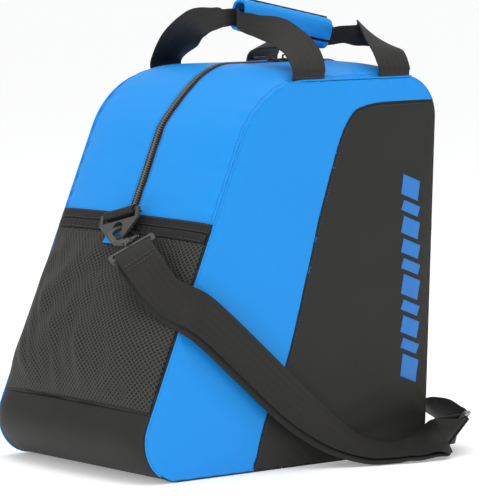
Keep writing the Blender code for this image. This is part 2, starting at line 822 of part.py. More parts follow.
def hook(clip):
    """A snap hook: the claw, its base, and the barrel that the loop's shank turns in."""
    frame = clip.claw_frame()
    mesh = plate_mesh(f"hook_{clip.label}", claw_outline(), [], HOOK_THICKNESS)
    piece = add(f"hook_{clip.label}", mesh, "hard plastic", frame)
    round_edges(piece, 0.0010)
    start = HOOK_RADIUS + HOOK_LEG + HOOK_BASE - 0.0016
    end = HOOK_RADIUS + HOOK_LEG + HOOK_BASE + BARREL_LENGTH
    barrel = rod_mesh(f"barrel_{clip.label}", (0, start, 0), (0, end, 0), BARREL_RADIUS, 18)
    boolean(piece, cutter(f"barrel_{clip.label}", barrel, frame), "UNION")
    hollow = rod_mesh(
        f"swivel_bore_{clip.label}", (0, end - 0.0052, 0), (0, end + 0.002, 0), SHANK_RADIUS + RUNNING, 14
    )
    boolean(piece, cutter(f"swivel_bore_{clip.label}", hollow, frame), "DIFFERENCE")
    gate(clip)


def gate_pivot(clip):
    return clip.claw_frame() @ Vector((HOOK_RADIUS + HOOK_BAR / 2 - 0.0026, HOOK_RADIUS + HOOK_LEG - 0.0022, 0))


def gate(clip):
    """The sprung gate that closes the claw, and the steel leaf along its outer side."""
    frame = clip.claw_frame()
    bottom = HOOK_RADIUS + HOOK_LEG - RUNNING
    top = HOOK_RADIUS + RUNNING
    outer = HOOK_RADIUS + HOOK_BAR / 2 - 0.0008
    lever = rounded(
        [
            (outer - GATE, top, 0.0008),
            (outer, top, 0.0008),
            (outer, bottom, 0.0006),
            (outer - GATE, bottom, 0.0006),
        ],
        3,
    )
    mesh = plate_mesh(f"gate_{clip.label}", lever, [], HOOK_THICKNESS * 0.8)
    piece = add(f"gate_{clip.label}", mesh, "black plastic", frame)
    round_edges(piece, 0.0005, 1)
    start = outer + GAP
    leaf = rectangle(start, top + 0.0006, start + GATE_SPRING, bottom - 0.0004, 0.0003)
    mesh = plate_mesh(f"gate_spring_{clip.label}", leaf, [], HOOK_THICKNESS * 0.55)
    add(f"gate_spring_{clip.label}", mesh, "spring steel", frame)


def strap_loop(clip):
    """The rectangular loop that the strap runs round, and its shank with a head in the barrel."""
    frame = clip.loop_frame()
    inner = STRAP_WIDTH / 2 + 0.0015
    outer = inner + LOOP_SIDE
    far = 2 * LOOP_BAR + LOOP_GAP
    outline = rectangle(-outer, 0, outer, far, 0.003)
    window = rectangle(-inner, LOOP_BAR, inner, LOOP_BAR + LOOP_GAP, 0.0012)
    mesh = plate_mesh(f"strap_loop_{clip.label}", outline, [window], LOOP_THICKNESS)
    piece = add(f"strap_loop_{clip.label}", mesh, "hard plastic", frame)
    round_edges(piece, 0.0011)
    depth = RUNNING + 0.0042
    shank = rod_mesh(f"shank_{clip.label}", (0, LOOP_BAR / 2, 0), (0, -depth, 0), SHANK_RADIUS, 14)
    boolean(piece, cutter(f"shank_{clip.label}", shank, frame), "UNION")


# ---------------------------------------------------------------- webbing


def smooth_route(stations, count):
    """Points and width directions read evenly from a smooth curve through the stations."""
    padded = [stations[0], *stations, stations[-1]]
    result = []
    spans = len(stations) - 1
    for k in range(count):
        place = spans * k / (count - 1)
        i = min(int(place), spans - 1)
        t = place - i
        values = []
        for part in (0, 1):
            a, b, c, d = (padded[i + j][part] for j in range(4))
            if i == 0:
                a = 2 * b - c
            if i == spans - 1:
                d = 2 * c - b
            value = 0.5 * (2 * b + (c - a) * t + (2 * a - 5 * b + 4 * c - d) * t**2 + (3 * b - a - 3 * c + d) * t**3)
            values.append(value)
        result.append((values[0], values[1].normalized()))
    return result


def framed(route):
    """Each point of a route with its width direction and the normal of its face."""
    result = []
    for i, (point, width) in enumerate(route):
        before = route[max(i - 1, 0)][0]
        after = route[min(i + 1, len(route) - 1)][0]
        tangent = (after - before).normalized()
        width = (width - tangent * width.dot(tangent)).normalized()
        result.append((point, width, width.cross(tangent).normalized(), tangent))
    return result


def ribbon(name, centres, width, finish, columns=3, thickness=WEBBING):
    """Webbing through (point, width direction) pairs."""
    rows = [
        [point + across * (width * share) for share in spread(-0.5, 0.5, columns)] for point, across in centres
    ]
    return sheet(name, rows, thickness, finish, offset=0.0)


ADJUSTER_CENTRE = Vector((0.2030, -0.1690, 0.0238))
ADJUSTER_WIDTH = Vector((0.41, -0.43, 0.81)).normalized()
ADJUSTER_RUN = Vector((0.80, 0.58, -0.10))


def cm(x, y, z):
    return Vector((x, y, z)) / 100


def long_route(clip):
    """The strap's route from the front loop, round the near front edge, down the side and out to the adjuster."""
    away = clip.hook_axis
    start = clip.strap_bar()
    run = ADJUSTER_RUN.normalized()
    return [
        (start, clip.loop_side),
        (start + away * 0.020, clip.loop_side),
        (cm(-13.9, -11.4, 18.9), Vector((0.20, -0.30, 0.90))),
        (cm(-12.2, -13.9, 17.4), Vector((0.45, -0.10, 0.90))),
        (cm(-9.7, -14.4, 15.4), Vector((0.66, 0.0, 0.75))),
        (cm(-5.0, -14.5, 11.4), Vector((0.676, 0.0, 0.737))),
        (cm(0.0, -14.5, 7.2), Vector((0.66, 0.06, 0.75))),
        (cm(4.6, -14.7, 3.9), Vector((0.55, 0.40, 0.70))),
        (cm(8.4, -15.3, 1.8), Vector((0.44, 0.74, 0.46))),
        (cm(11.9, -15.9, 1.0), Vector((0.54, 0.80, 0.22))),
        (cm(13.8, -16.5, 0.95), Vector((0.62, 0.74, 0.22))),
        (cm(15.9, -17.2, 1.30), Vector((0.66, 0.45, 0.40))),
        (ADJUSTER_CENTRE - run * 0.0240, ADJUSTER_WIDTH),
    ]


def short_route(clip):
    """From the adjuster back behind the bag and up to the rear loop."""
    end = clip.strap_bar()
    run = ADJUSTER_RUN.normalized()
    return [
        (ADJUSTER_CENTRE + run * 0.020, ADJUSTER_WIDTH),
        (ADJUSTER_CENTRE + run * 0.027, ADJUSTER_WIDTH),
        (cm(24.4, -13.6, 2.2), Vector((0.0, -0.35, 0.93))),
        (cm(24.8, -11.9, 2.9), Vector((-0.25, -0.38, 0.89))),
        (cm(25.1, -10.0, 3.2), Vector((-0.50, -0.15, 0.85))),
        (cm(25.3, -7.6, 3.4), Vector((-0.75, -0.34, 0.57))),
        (cm(25.0, -4.4, 5.2), Vector((-0.50, -0.80, 0.35))),
        (cm(24.5, -1.4, 9.0), Vector((-0.10, -0.98, 0.10))),
        (Vector((end.x, 0, end.z - 0.055)), Vector((0, -1, 0))),
        (Vector((end.x, 0, end.z - 0.020)), Vector((0, -1, 0))),
        (end, Vector((0, -1, 0))),
    ]


def adjuster_frame():
    """X along the bars, Y along the strap's run, Z away from the bag's side of the strap."""
    return axes(ADJUSTER_CENTRE, -ADJUSTER_WIDTH, ADJUSTER_RUN)


def adjuster():
    frame = adjuster_frame()
    half_slot = ADJUSTER_SLOT
    reach = 1.5 * ADJUSTER_BAR + half_slot
    inner = STRAP_WIDTH / 2 + 0.0012
    outer = inner + 0.0042
    outline = rectangle(-outer, -reach, outer, reach, 0.003)
    slots = []
    for side in (-1, 1):
        near = side * ADJUSTER_BAR / 2
        far = side * (ADJUSTER_BAR / 2 + half_slot)
        slots.append(rectangle(-inner, min(near, far), inner, max(near, far), 0.001))
    mesh = plate_mesh("strap_adjuster", outline, slots, ADJUSTER_THICKNESS)
    piece = add("strap_adjuster", mesh, "black plastic", frame)
    round_edges(piece, 0.0008)


def in_adjuster(points):
    """(along the run, off the plate) pairs as route points in the adjuster's frame."""
    frame = adjuster_frame()
    width = -frame.to_3x3().col[0]
    return [(frame @ Vector((0, along, off)), width) for along, off in points]


def layer(route, spacing, sideways=0.0):
    """A route moved off itself along its normal. Spacing gives the distance at each share of the way."""
    last = len(route) - 1
    made = []
    for i, (point, across, normal, _) in enumerate(route):
        share = i / last
        aside = sideways * min(1.0, 6.0 * share, 6.0 * (1 - share))
        made.append((point + normal * spacing(share) + across * aside, across))
    return made


def bar_turn(point, across, away, radius, from_side, to_side, normal, steps=6):
    """Route points half way round a bar, on the side that faces away."""
    result = []
    for k in range(1, steps):
        angle = math.pi * k / steps
        side = math.cos(angle)
        result.append((point + normal * (radius * side * from_side) + away * (radius * math.sin(angle)), across))
    return result


def strap_spacing(share):
    """Half the distance between the strap's two layers: wide round the loop's bar and at the adjuster."""
    at_bar = LOOP_THICKNESS / 2 + 0.0014 + WEBBING / 2
    close = WEBBING / 2 + 0.0006
    at_adjuster = ADJUSTER_THICKNESS / 2 + 0.0006 + WEBBING / 2
    leaving = min(1.0, share * 7.0)
    arriving = min(1.0, max(0.0, (1 - share) * 14.0 - 0.6))
    from_bar = (at_bar - close) * (1 - leaving * leaving * (3 - 2 * leaving))
    to_adjuster = (at_adjuster - close) * (1 - arriving * arriving * (3 - 2 * arriving))
    return close + from_bar + to_adjuster


def long_strap(clip):
    """The doubled webbing between the front loop and the adjuster."""
    route = framed(smooth_route(long_route(clip), 52))
    threaded = layer(route, strap_spacing, -STRAP_LAG)
    sewn = layer(route, lambda t: -strap_spacing(t))
    point, across, normal, tangent = route[0]
    turn = bar_turn(point, across, -tangent, strap_spacing(0), 1, -1, normal)
    bar = ADJUSTER_THICKNESS / 2 + 0.0006 + WEBBING / 2
    high = bar + WEBBING + 0.0008
    through = in_adjuster([(-0.0190, -bar - 0.0010), (-0.0150, -bar - 0.0004), (-0.0128, -bar), (-0.0112, -bar + 0.0003), (-0.0066, 0.0), (-0.0040, high - 0.001)])
    end = in_adjuster([(-0.0190, bar + 0.0010), (-0.0140, bar + 0.0004), (-0.0096, bar)])
    whole = list(reversed(through)) + list(reversed(threaded[:-1])) + turn + sewn[:-1] + end
    ribbon("strap_long", whole, STRAP_WIDTH, "webbing")


def short_strap(clip):
    """The single webbing from the adjuster to the rear loop, sewn back on itself there."""
    bar = ADJUSTER_THICKNESS / 2 + 0.0006 + WEBBING / 2
    high = bar + WEBBING + 0.0008
    across_bar = [(-0.0032, high - 0.0002), (0.0, high + 0.0002), (0.0040, high - 0.001), (0.0068, 0.0)]
    start = in_adjuster([*across_bar, (0.0118, -bar), (0.0150, -bar)])
    route = framed(smooth_route(short_route(clip), 40))
    half = strap_spacing(0)
    outer = layer(route, lambda t: bar + (strap_spacing(1 - t) - bar) * min(1.0, 5 * t))
    point, across, normal, tangent = route[-1]
    turn = bar_turn(point, across, tangent, half, 1, -1, normal)
    tail = []
    for i in range(5):
        drop = 0.010 * i
        spacing = strap_spacing(min(1.0, 0.04 * i))
        tail.append((point - tangent * drop - normal * spacing, across))
    ribbon("strap_short", start + outer + turn + tail, STRAP_WIDTH, "webbing")


# ---------------------------------------------------------------- handles and grip


def grip_frame():
    """X along the grip towards the rear, Y across it, Z up."""
    along = Vector((math.cos(GRIP_TILT), 0, -math.sin(GRIP_TILT)))
    return axes(GRIP_CENTRE, along, Vector((0, 1, 0)))


# Where each handle bends, front then rear. First a place from the foot (x, inward, up), then places from
# the grip's centre (x, y, up), each with the direction of the webbing's width and its share of the full width.
HANDLE_FEET = {"near": (0.0360, 0.1540), "far": (0.0480, 0.1840)}
HANDLE_RISE = {
    "near": (((1.0, 2.5, 2.95), (1, 0, 0.2)), ((1.0, 2.5, 2.95), (1, 0, -0.1))),
    "far": (((-0.4, 2.5, 3.0), (0.92, 0, -0.4)), ((-1.2, 2.5, 2.85), (0.92, 0, 0.4))),
}
HANDLE_BENDS = {
    "near": (
        [
            ((-5.5, -6.3, -0.6), (0.8, 0, 0.55), 0.85),
            ((-6.4, -3.0, 0.1), (0.3, 0, 0.95), 0.55),
            ((-6.9, -1.2, 0.6), (0, 0, 1), 0.43),
        ],
        [
            ((8.3, -5.0, -1.1), (0.77, 0, -0.63), 0.95),
            ((9.3, -1.9, -1.4), (0.2, 0, -0.98), 0.55),
            ((8.0, -0.7, -1.3), (0, 0, -1), 0.45),
        ],
    ),
    "far": (
        [
            ((-7.2, 6.0, -0.1), (0.5, 0, -0.87), 0.80),
            ((-7.4, 2.4, 0.6), (-0.2, 0, -0.98), 0.60),
            ((-7.2, 0.9, 0.75), (0, 0, -1), 0.45),
        ],
        [
            ((7.7, 5.5, -1.4), (0.6, 0, 0.75), 0.85),
            ((8.7, 2.2, -1.5), (0.1, 0, 0.98), 0.50),
            ((7.7, 0.9, -1.3), (0, 0, 1), 0.45),
        ],
    ),
}


def handle_leg(label, end):
    """Stations (place, width direction, width) from a foot to inside the grip; end is 0 in front, 1 behind."""
    side = -1 if label == "near" else 1
    x = HANDLE_FEET[label][end]
    edge = side * (WIDTH / 2 - 0.0008)
    foot = HEIGHT + 0.0016
    flat = Vector((1, 0, 0))
    (along, inward, up), rise_width = HANDLE_RISE[label][end]
    stations = [
        (Vector((x, edge, foot)), flat, HANDLE_WIDTH),
        (Vector((x, edge - side * 0.001, foot + 0.0115)), flat, HANDLE_WIDTH),
        (Vector((x, edge, foot)) + cm(along, -side * inward, up), Vector(rise_width), HANDLE_WIDTH),
    ]
    for place, width, share in HANDLE_BENDS[label][end]:
        stations.append((GRIP_CENTRE + cm(*place), Vector(width), HANDLE_WIDTH * share))
    sign = 2 * end - 1
    upright = stations[-1][1]
    inside = grip_frame() @ Vector((sign * (GRIP_LENGTH / 2 + 0.001), side * HANDLE_LANE, HANDLE_DROP))
    stations.append((inside, upright, HANDLE_WIDTH * HANDLE_FOLD))
    return stations


def handle(label):
    """A webbing handle: up from the top seam, folded narrow through the grip, and down again."""
    side = -1 if label == "near" else 1
    front = handle_leg(label, 0)
    rear = handle_leg(label, 1)
    upright = front[-1][1]
    reach = GRIP_LENGTH * 0.35
    middle = []
    for x in spread(-reach, reach, 4):
        place = grip_frame() @ Vector((x, side * HANDLE_LANE, HANDLE_DROP))
        middle.append((place, upright, HANDLE_WIDTH * HANDLE_FOLD))
    back = [(point, -width, size) for point, width, size in reversed(rear)]
    stations = front + middle + back
    count = 56
    route = framed(smooth_route([(point, width) for point, width, _ in stations], count))
    spans = len(stations) - 1
    rows = []
    for k, (point, across, _, _) in enumerate(route):
        place = spans * k / (count - 1)
        i = min(int(place), spans - 1)
        size = stations[i][2] + (stations[i + 1][2] - stations[i][2]) * (place - i)
        rows.append([point + across * (size * share) for share in spread(-0.5, 0.5, 3)])
    sheet(f"handle_{label}", rows, WEBBING, "webbing", offset=0.0)


def grip_section():
    """The grip's closed cross-section as (y, z) points, from the flap's hinge round the far side to the top."""
    return rounded(
        [
            (-GRIP_DEPTH / 2, -GRIP_HEIGHT / 2, 0.009),
            (GRIP_DEPTH / 2, -GRIP_HEIGHT / 2, 0.009),
            (GRIP_DEPTH / 2, GRIP_HEIGHT / 2, 0.010),
            (-GRIP_DEPTH / 2, GRIP_HEIGHT / 2, 0.010),
        ],
        4,
    )


def grip():
    """The padded wrap: a trough fixed round the handles, and a flap that closes it on the near side."""
    frame = grip_frame()
    section = grip_section()
    half = GRIP_LENGTH / 2
    corner = len(section) // 4
    flap_part = section[3 * corner :] + section[:1]
    fixed_part = section[1 : 3 * corner]
    xs = spread(-half, half, 5)
    fixed = [[frame @ Vector((x, y, z)) for y, z in fixed_part] for x in xs]
    sheet("grip_wrap", fixed, GRIP, "blue fabric", outward=Vector((0, 1, 0)))
    flap = [[frame @ Vector((x, y, z)) for y, z in flap_part] for x in xs]
    sheet("grip_flap", flap, GRIP, "blue fabric", outward=Vector((0, -1, 0)))


def grip_flap_hinge():
    """A point on the flap's fold, along the grip's lower near edge."""
    y, z = grip_section()[0]
    return grip_frame() @ Vector((0, y, z))


# ---------------------------------------------------------------- pivots


def pivot(name, place, children):
    """An empty on a joint's axis, parent of what turns or slides there."""
    made = bpy.data.objects.new(name, None)
    bpy.data.collections[PARTS].objects.link(made)
    made.location = place
    bpy.context.view_layer.update()
    for child in children:
        piece = bpy.data.objects[child]
        kept = piece.matrix_world.copy()
        piece.parent = made
        piece.matrix_parent_inverse = made.matrix_world.inverted()
        piece.matrix_world = kept


def pivots(clips):
    for clip in clips:
        end = clip.label
        pivot(f"{end}_ring_axis", clip.bar, [f"ring_{end}", f"strap_loop_{end}"])
        pivot(f"{end}_swivel_axis", clip.eye, [f"hook_{end}"])
        pivot(f"{end}_gate_axis", gate_pivot(clip), [f"gate_{end}", f"gate_spring_{end}"])
    pivot("adjuster_axis", ADJUSTER_CENTRE, ["strap_adjuster"])
    pivot("grip_flap_axis", grip_flap_hinge(), ["grip_flap"])


def build():
    clear_scene()
    side_panels()
    gussets()
    tapes()
    base_board()
    mesh_pocket()
    pocket_patch()
    slider("front", SLIDER_PLACES["front"], -1)
    slider("rear", SLIDER_PLACES["rear"], 1)
    clips = [front_clip(), rear_clip()]
    for clip in clips:
        ring(clip)
        ring_tab(clip)
        hook(clip)
        strap_loop(clip)
    adjuster()
    long_strap(clips[0])
    short_strap(clips[1])
    handle("near")
    handle("far")
    grip()
    pivots(clips)


build()
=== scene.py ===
"""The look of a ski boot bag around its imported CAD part: cloth shell, webbing, zip, net pocket and grip."""

import json
import math

import bmesh
import bpy
import mathutils
import numpy as np
from mathutils import Matrix, Vector

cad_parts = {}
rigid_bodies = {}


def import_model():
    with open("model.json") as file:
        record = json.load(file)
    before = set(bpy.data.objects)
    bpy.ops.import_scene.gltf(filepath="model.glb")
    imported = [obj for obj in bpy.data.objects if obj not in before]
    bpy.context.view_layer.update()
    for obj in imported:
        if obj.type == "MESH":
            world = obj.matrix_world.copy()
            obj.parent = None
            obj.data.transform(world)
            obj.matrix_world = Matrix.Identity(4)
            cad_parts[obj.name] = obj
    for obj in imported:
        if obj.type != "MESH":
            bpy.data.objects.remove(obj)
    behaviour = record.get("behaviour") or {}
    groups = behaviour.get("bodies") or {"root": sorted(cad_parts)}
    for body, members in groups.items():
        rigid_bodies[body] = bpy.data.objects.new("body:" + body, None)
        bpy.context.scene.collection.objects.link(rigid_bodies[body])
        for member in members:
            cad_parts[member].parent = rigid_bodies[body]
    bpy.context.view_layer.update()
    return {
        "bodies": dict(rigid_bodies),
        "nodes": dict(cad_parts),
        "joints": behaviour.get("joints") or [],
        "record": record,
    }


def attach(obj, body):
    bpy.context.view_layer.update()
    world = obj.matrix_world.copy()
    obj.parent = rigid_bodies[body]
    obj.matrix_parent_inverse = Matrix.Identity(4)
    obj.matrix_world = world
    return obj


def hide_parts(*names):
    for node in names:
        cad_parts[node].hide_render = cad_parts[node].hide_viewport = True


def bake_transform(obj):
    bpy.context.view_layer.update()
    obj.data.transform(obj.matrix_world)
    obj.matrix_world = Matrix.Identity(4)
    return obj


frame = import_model()

# ---------------------------------------------------------------- sizes, as in the CAD source

LENGTH = 0.397  # along the base
HEIGHT = 0.40  # base to the top seam
WIDTH = 0.256  # between the side panels' outer faces
FRONT_LEAN = 0.171  # how far the front has come back at the top
REAR_LEAN = 0.014  # how far the rear stands out at the top
CROWN = 0.0135  # how far the gusset swells past its seams
SIDE_SWELL = 0.006  # how far the side panels swell
FRONT_BOTTOM_RADIUS = 0.042
FRONT_TOP_RADIUS = 0.090
REAR_TOP_RADIUS = 0.042
REAR_BOTTOM_RADIUS = 0.032
FABRIC = 0.0016
GAP = 0.0003
BASE_SEAM = 0.069
FRONT_SEAM = 0.2475
REAR_SEAM = 0.235
TAPE_HEIGHT = 0.0097
COLOUR_SEAM_TOP = 0.3745  # where the dark part of a side panel ends
POCKET_TOP = 0.2375
POCKET_BULGE = 0.020
POCKET_MOUTH = 0.0012  # how far the elastic stands off at the middle
MESH = 0.0012
STRAP_PRESS = ((-0.022, 0.236), (-0.125, 0.164))  # the line along which hook and strap press the mesh in
STRAP_PRESS_WIDTH = 0.036
STRAP_PRESS_DEPTH = 0.80
BINDING_HEIGHT = 0.0095
BINDING = 0.0022
PATCH = (0.030, 0.018)
PATCH_PLACE = (0.008, 0.2335)
ZIP_OPENING = 0.0130
CHAIN_WIDTH = 0.0066
CHAIN = 0.0016
ZIP_TAPE = 0.0010
WEBBING = 0.0016
STRAP_WIDTH = 0.041
HANDLE_WIDTH = 0.042
TAB_WIDTH = 0.045
STRAP_LAG = 0.007  # how far the strap's hidden layer hangs below the layer over it
RING = 0.0030
RING_BAR = 0.0042
EYE_PLACE = 0.0180
HOOK_RADIUS = 0.0115
HOOK_LEG = 0.0190
HOOK_BASE = 0.0062
BARREL_LENGTH = 0.0080
LOOP_BAR = 0.0042
LOOP_GAP = 0.0062
LOOP_THICKNESS = 0.0046
RUNNING = 0.0006  # clearance of a piece that turns
ADJUSTER_THICKNESS = 0.0034
GRIP_LENGTH = 0.122
GRIP_HEIGHT = 0.033
GRIP_DEPTH = 0.024
GRIP_CENTRE = Vector((0.1060, 0.0, HEIGHT + 0.0540))
GRIP_TILT = math.radians(11.0)  # the rear end hangs lower
HANDLE_LANE = 0.0042  # how far each handle lies to its side inside the grip
HANDLE_DROP = -0.0035
HANDLE_FOLD = 0.43  # the folded handle's height as a share of its width
RING_TURN = math.radians(16.0)
HOOK_DROP = math.radians(25.0)
HOOK_LIFT = 0.19  # outward slope of the hook's axis
LOOP_TURN = math.radians(31.0)
FRONT_BAR_PLACE = (0.0015, 0.2540, 0.0222)  # across, height, stand-off
REAR_BAR_PLACE = (0.0, 0.2420, 0.0265)


def rounded(corners, steps=5):
    """A closed outline with its corners rounded. Each corner is (x, y, radius)."""
    points = []
    count = len(corners)
    for i, (x, y, radius) in enumerate(corners):
        here = Vector((x, y))
        before = (Vector(corners[i - 1][:2]) - here).normalized()
        after = (Vector(corners[(i + 1) % count][:2]) - here).normalized()
        if radius <= 0:
            points.append(tuple(here))
            continue
        half = before.angle(after) / 2
        centre = here + (before + after).normalized() * radius / math.sin(half)
        start = here + before * radius / math.tan(half) - centre
        turn = math.pi - 2 * half
        side = 1.0 if before.x * after.y - before.y * after.x < 0 else -1.0
        for k in range(steps + 1):
            angle = side * turn * k / steps
            c, s = math.cos(angle), math.sin(angle)
            points.append((centre.x + c * start.x - s * start.y, centre.y + s * start.x + c * start.y))
    return points


def axes(origin, x_axis, y_axis):
    """A matrix whose X and Y run along two directions; the second is squared up to the first."""
    x_axis = x_axis.normalized()
    z_axis = x_axis.cross(y_axis).normalized()
    y_axis = z_axis.cross(x_axis)
    turn = Matrix((x_axis, y_axis, z_axis)).transposed().to_4x4()
    return Matrix.Translation(origin) @ turn


TOP_FRONT_X = -LENGTH / 2 + FRONT_LEAN
TOP_REAR_X = LENGTH / 2 + REAR_LEAN
FRONT_UP = Vector((FRONT_LEAN, 0.0, HEIGHT)).normalized()
FRONT_OUT = Vector((-FRONT_UP.z, 0.0, FRONT_UP.x))
REAR_UP = Vector((REAR_LEAN, 0.0, HEIGHT)).normalized()
REAR_OUT = Vector((REAR_UP.z, 0.0, -REAR_UP.x))
SEAM_Y = WIDTH / 2 - FABRIC - GAP  # where the gusset's edge stops, inside the side panel


def front_x(z):
    return -LENGTH / 2 + FRONT_LEAN * z / HEIGHT


def rear_x(z):
    return LENGTH / 2 + REAR_LEAN * z / HEIGHT


def bag_outline():
    """(x, z) points from the middle of the base round the front, the top and the rear, back to the middle."""
    corners = [
        (-LENGTH / 2, 0.0, FRONT_BOTTOM_RADIUS),
        (TOP_FRONT_X, HEIGHT, FRONT_TOP_RADIUS),
        (TOP_REAR_X, HEIGHT, REAR_TOP_RADIUS),
        (LENGTH / 2, 0.0, REAR_BOTTOM_RADIUS),
    ]
    turned = rounded(corners, 24)
    ends = [(0.0, 0.0)] + turned + [(0.0, 0.0)]
    points = [Vector(ends[0])]
    for end in ends[1:]:
        run = Vector(end) - points[-1]
        steps = max(1, round(run.length / 0.012))
        start = points[-1].copy()
        points += [start + run * (k + 1) / steps for k in range(steps)]
    return points


OUTLINE = bag_outline()


def lengths_along(points):
    total = [0.0]
    for a, b in zip(points, points[1:]):
        total.append(total[-1] + (b - a).length)
    return total


DISTANCES = lengths_along(OUTLINE)


def outline_at(distance):
    """The point on the outline at a distance round it."""
    for i in range(len(OUTLINE) - 1):
        if distance <= DISTANCES[i + 1]:
            share = (distance - DISTANCES[i]) / (DISTANCES[i + 1] - DISTANCES[i])
            return OUTLINE[i].lerp(OUTLINE[i + 1], max(0.0, share))
    return OUTLINE[-1].copy()


def distance_at(height, side):
    """How far round the outline it reaches this height, on the front or the rear."""
    pairs = list(zip(OUTLINE, OUTLINE[1:], DISTANCES, DISTANCES[1:]))
    for a, b, start, end in pairs if side == "front" else reversed(pairs):
        crosses = min(a.y, b.y) <= height <= max(a.y, b.y) and abs(b.y - a.y) > 1e-9
        if crosses and (a.x < 0) == (side == "front"):
            return start + (end - start) * (height - a.y) / (b.y - a.y)
    raise ValueError("the outline does not reach this height")


def outward_at(distance):
    step = 0.002
    run = outline_at(distance + step) - outline_at(distance - step)
    return Vector((-run.y, 0.0, run.x)).normalized()


def crown_at(outward, across):
    """How far the gusset swells, by the way it faces and by across, from -1 at one seam to 1 at the other."""
    facing = abs(outward.x) ** 5 + max(outward.z, 0.0) ** 5
    shape = 0.55 * (1 - across**2) + 0.45 * (1 - across**12)
    return CROWN * facing * shape


def gusset_point(distance, y, lift=0.0):
    """A point on the gusset's outer face, lifted off it by lift."""
    outward = outward_at(distance)
    flat = outline_at(distance)
    rise = crown_at(outward, y / (WIDTH / 2)) + lift
    return Vector((flat.x, y, flat.y)) + outward * rise


def spread(low, high, count):
    return [low + (high - low) * k / (count - 1) for k in range(count)]


def side_edges(z):
    """The outline's two x values at a height."""
    crossings = []
    for a, b in zip(OUTLINE, OUTLINE[1:]):
        if min(a.y, b.y) <= z <= max(a.y, b.y) and abs(b.y - a.y) > 1e-9:
            crossings.append(a.x + (b.x - a.x) * (z - a.y) / (b.y - a.y))
    return min(crossings), max(crossings)


def side_swell(x, z):
    low, high = side_edges(min(max(z, 0.0005), HEIGHT - 0.0005))
    along = max(0.0, 1 - ((x - (low + high) / 2) / ((high - low) / 2)) ** 2)
    up = max(0.0, 1 - (2 * z / HEIGHT - 1) ** 2)
    return SIDE_SWELL * math.sqrt(along * up)


def pocket_lift(up, across):
    """How far the pocket's mesh stands off the front panel; up is 0 at its base and 1 at its mouth."""
    hollow = max(0.0, math.sin(math.pi * min(up, 1.0) ** 0.75))
    edge = max(0.0, 1 - across**4) ** 0.7
    mouth = POCKET_MOUTH * up**3
    place = Vector((across * SEAM_Y, BASE_SEAM + up * (POCKET_TOP - BASE_SEAM)))
    start, end = (Vector(point) for point in STRAP_PRESS)
    share = (place - start).dot(end - start) / (end - start).length_squared
    off_line = (place - start.lerp(end, min(1.0, max(0.0, share)))).length
    pressed = STRAP_PRESS_DEPTH * math.exp(-((off_line / STRAP_PRESS_WIDTH) ** 2))
    return MESH + GAP + edge * (POCKET_BULGE * hollow * (1 - pressed) + mouth)


class Clip:
    """Where one end's ring, hook and loop lie: the ring's bar, its eye, and the hook's axis."""

    def __init__(self, label, bar, along_bar, towards_eye, hook_axis, loop_side):
        self.label = label
        self.bar = bar
        self.along_bar = along_bar.normalized()
        self.towards_eye = towards_eye.normalized()
        self.eye = bar + self.towards_eye * EYE_PLACE
        self.hook_axis = hook_axis.normalized()
        self.loop_side = self.square(loop_side)

    def square(self, direction):
        """A direction squared up to the hook's axis."""
        return (direction - self.hook_axis * direction.dot(self.hook_axis)).normalized()

    def strap_bar(self):
        return self.eye + self.hook_axis * (LOOP_START + LOOP_BAR * 1.5 + LOOP_GAP)


LOOP_START = HOOK_RADIUS + HOOK_LEG + HOOK_BASE + BARREL_LENGTH + 2 * RUNNING


def on_front(across, height, off):
    return Vector((front_x(height), across, height)) + FRONT_OUT * off


def on_rear(across, height, off):
    return Vector((rear_x(height), across, height)) + REAR_OUT * off


def front_clip():
    y_axis = Vector((0, 1, 0))
    along = -y_axis * math.cos(RING_TURN) + FRONT_UP * math.sin(RING_TURN)
    down = -y_axis * math.sin(RING_TURN) - FRONT_UP * math.cos(RING_TURN)
    hook = -y_axis * math.cos(HOOK_DROP) - FRONT_UP * math.sin(HOOK_DROP) + FRONT_OUT * HOOK_LIFT
    side = -y_axis * math.sin(HOOK_DROP) + FRONT_UP * math.cos(HOOK_DROP)
    loop = side * math.cos(LOOP_TURN) - FRONT_OUT * math.sin(LOOP_TURN)
    return Clip("front", on_front(*FRONT_BAR_PLACE), along, down, hook, loop)


def rear_clip():
    across = Vector((0, 1, 0))
    down = Vector((0, 0, -1))
    return Clip("rear", on_rear(*REAR_BAR_PLACE), across, down, down, across)


TAB_REACH = {"front": 0.0098, "rear": 0.0102}


def through(a, b, c, d, t):
    """A smooth curve's point at t between b and c, with a and d its neighbours."""
    curve = 2 * b + (c - a) * t + (2 * a - 5 * b + 4 * c - d) * t**2 + (3 * b - a - 3 * c + d) * t**3
    return 0.5 * curve


def smooth_route(stations, count):
    """Points and width directions read evenly from a smooth curve through the stations."""
    padded = [stations[0], *stations, stations[-1]]
    result = []
    spans = len(stations) - 1
    for k in range(count):
        place = spans * k / (count - 1)
        i = min(int(place), spans - 1)
        t = place - i
        values = []
        for part in (0, 1):
            a, b, c, d = (padded[i + j][part] for j in range(4))
            if i == 0:
                a = 2 * b - c
            if i == spans - 1:
                d = 2 * c - b
            value = through(a, b, c, d, t)
            values.append(value)
        result.append((values[0], values[1].normalized()))
    return result


def framed(route):
    """Each point of a route with its width direction and the normal of its face."""
    result = []
    for i, (point, width) in enumerate(route):
        before = route[max(i - 1, 0)][0]
        after = route[min(i + 1, len(route) - 1)][0]
        tangent = (after - before).normalized()
        width = (width - tangent * width.dot(tangent)).normalized()
        result.append((point, width, width.cross(tangent).normalized(), tangent))
    return result


ADJUSTER_CENTRE = Vector((0.2030, -0.1690, 0.0238))
ADJUSTER_WIDTH = Vector((0.41, -0.43, 0.81)).normalized()
ADJUSTER_RUN = Vector((0.80, 0.58, -0.10))


def cm(x, y, z):
    return Vector((x, y, z)) / 100


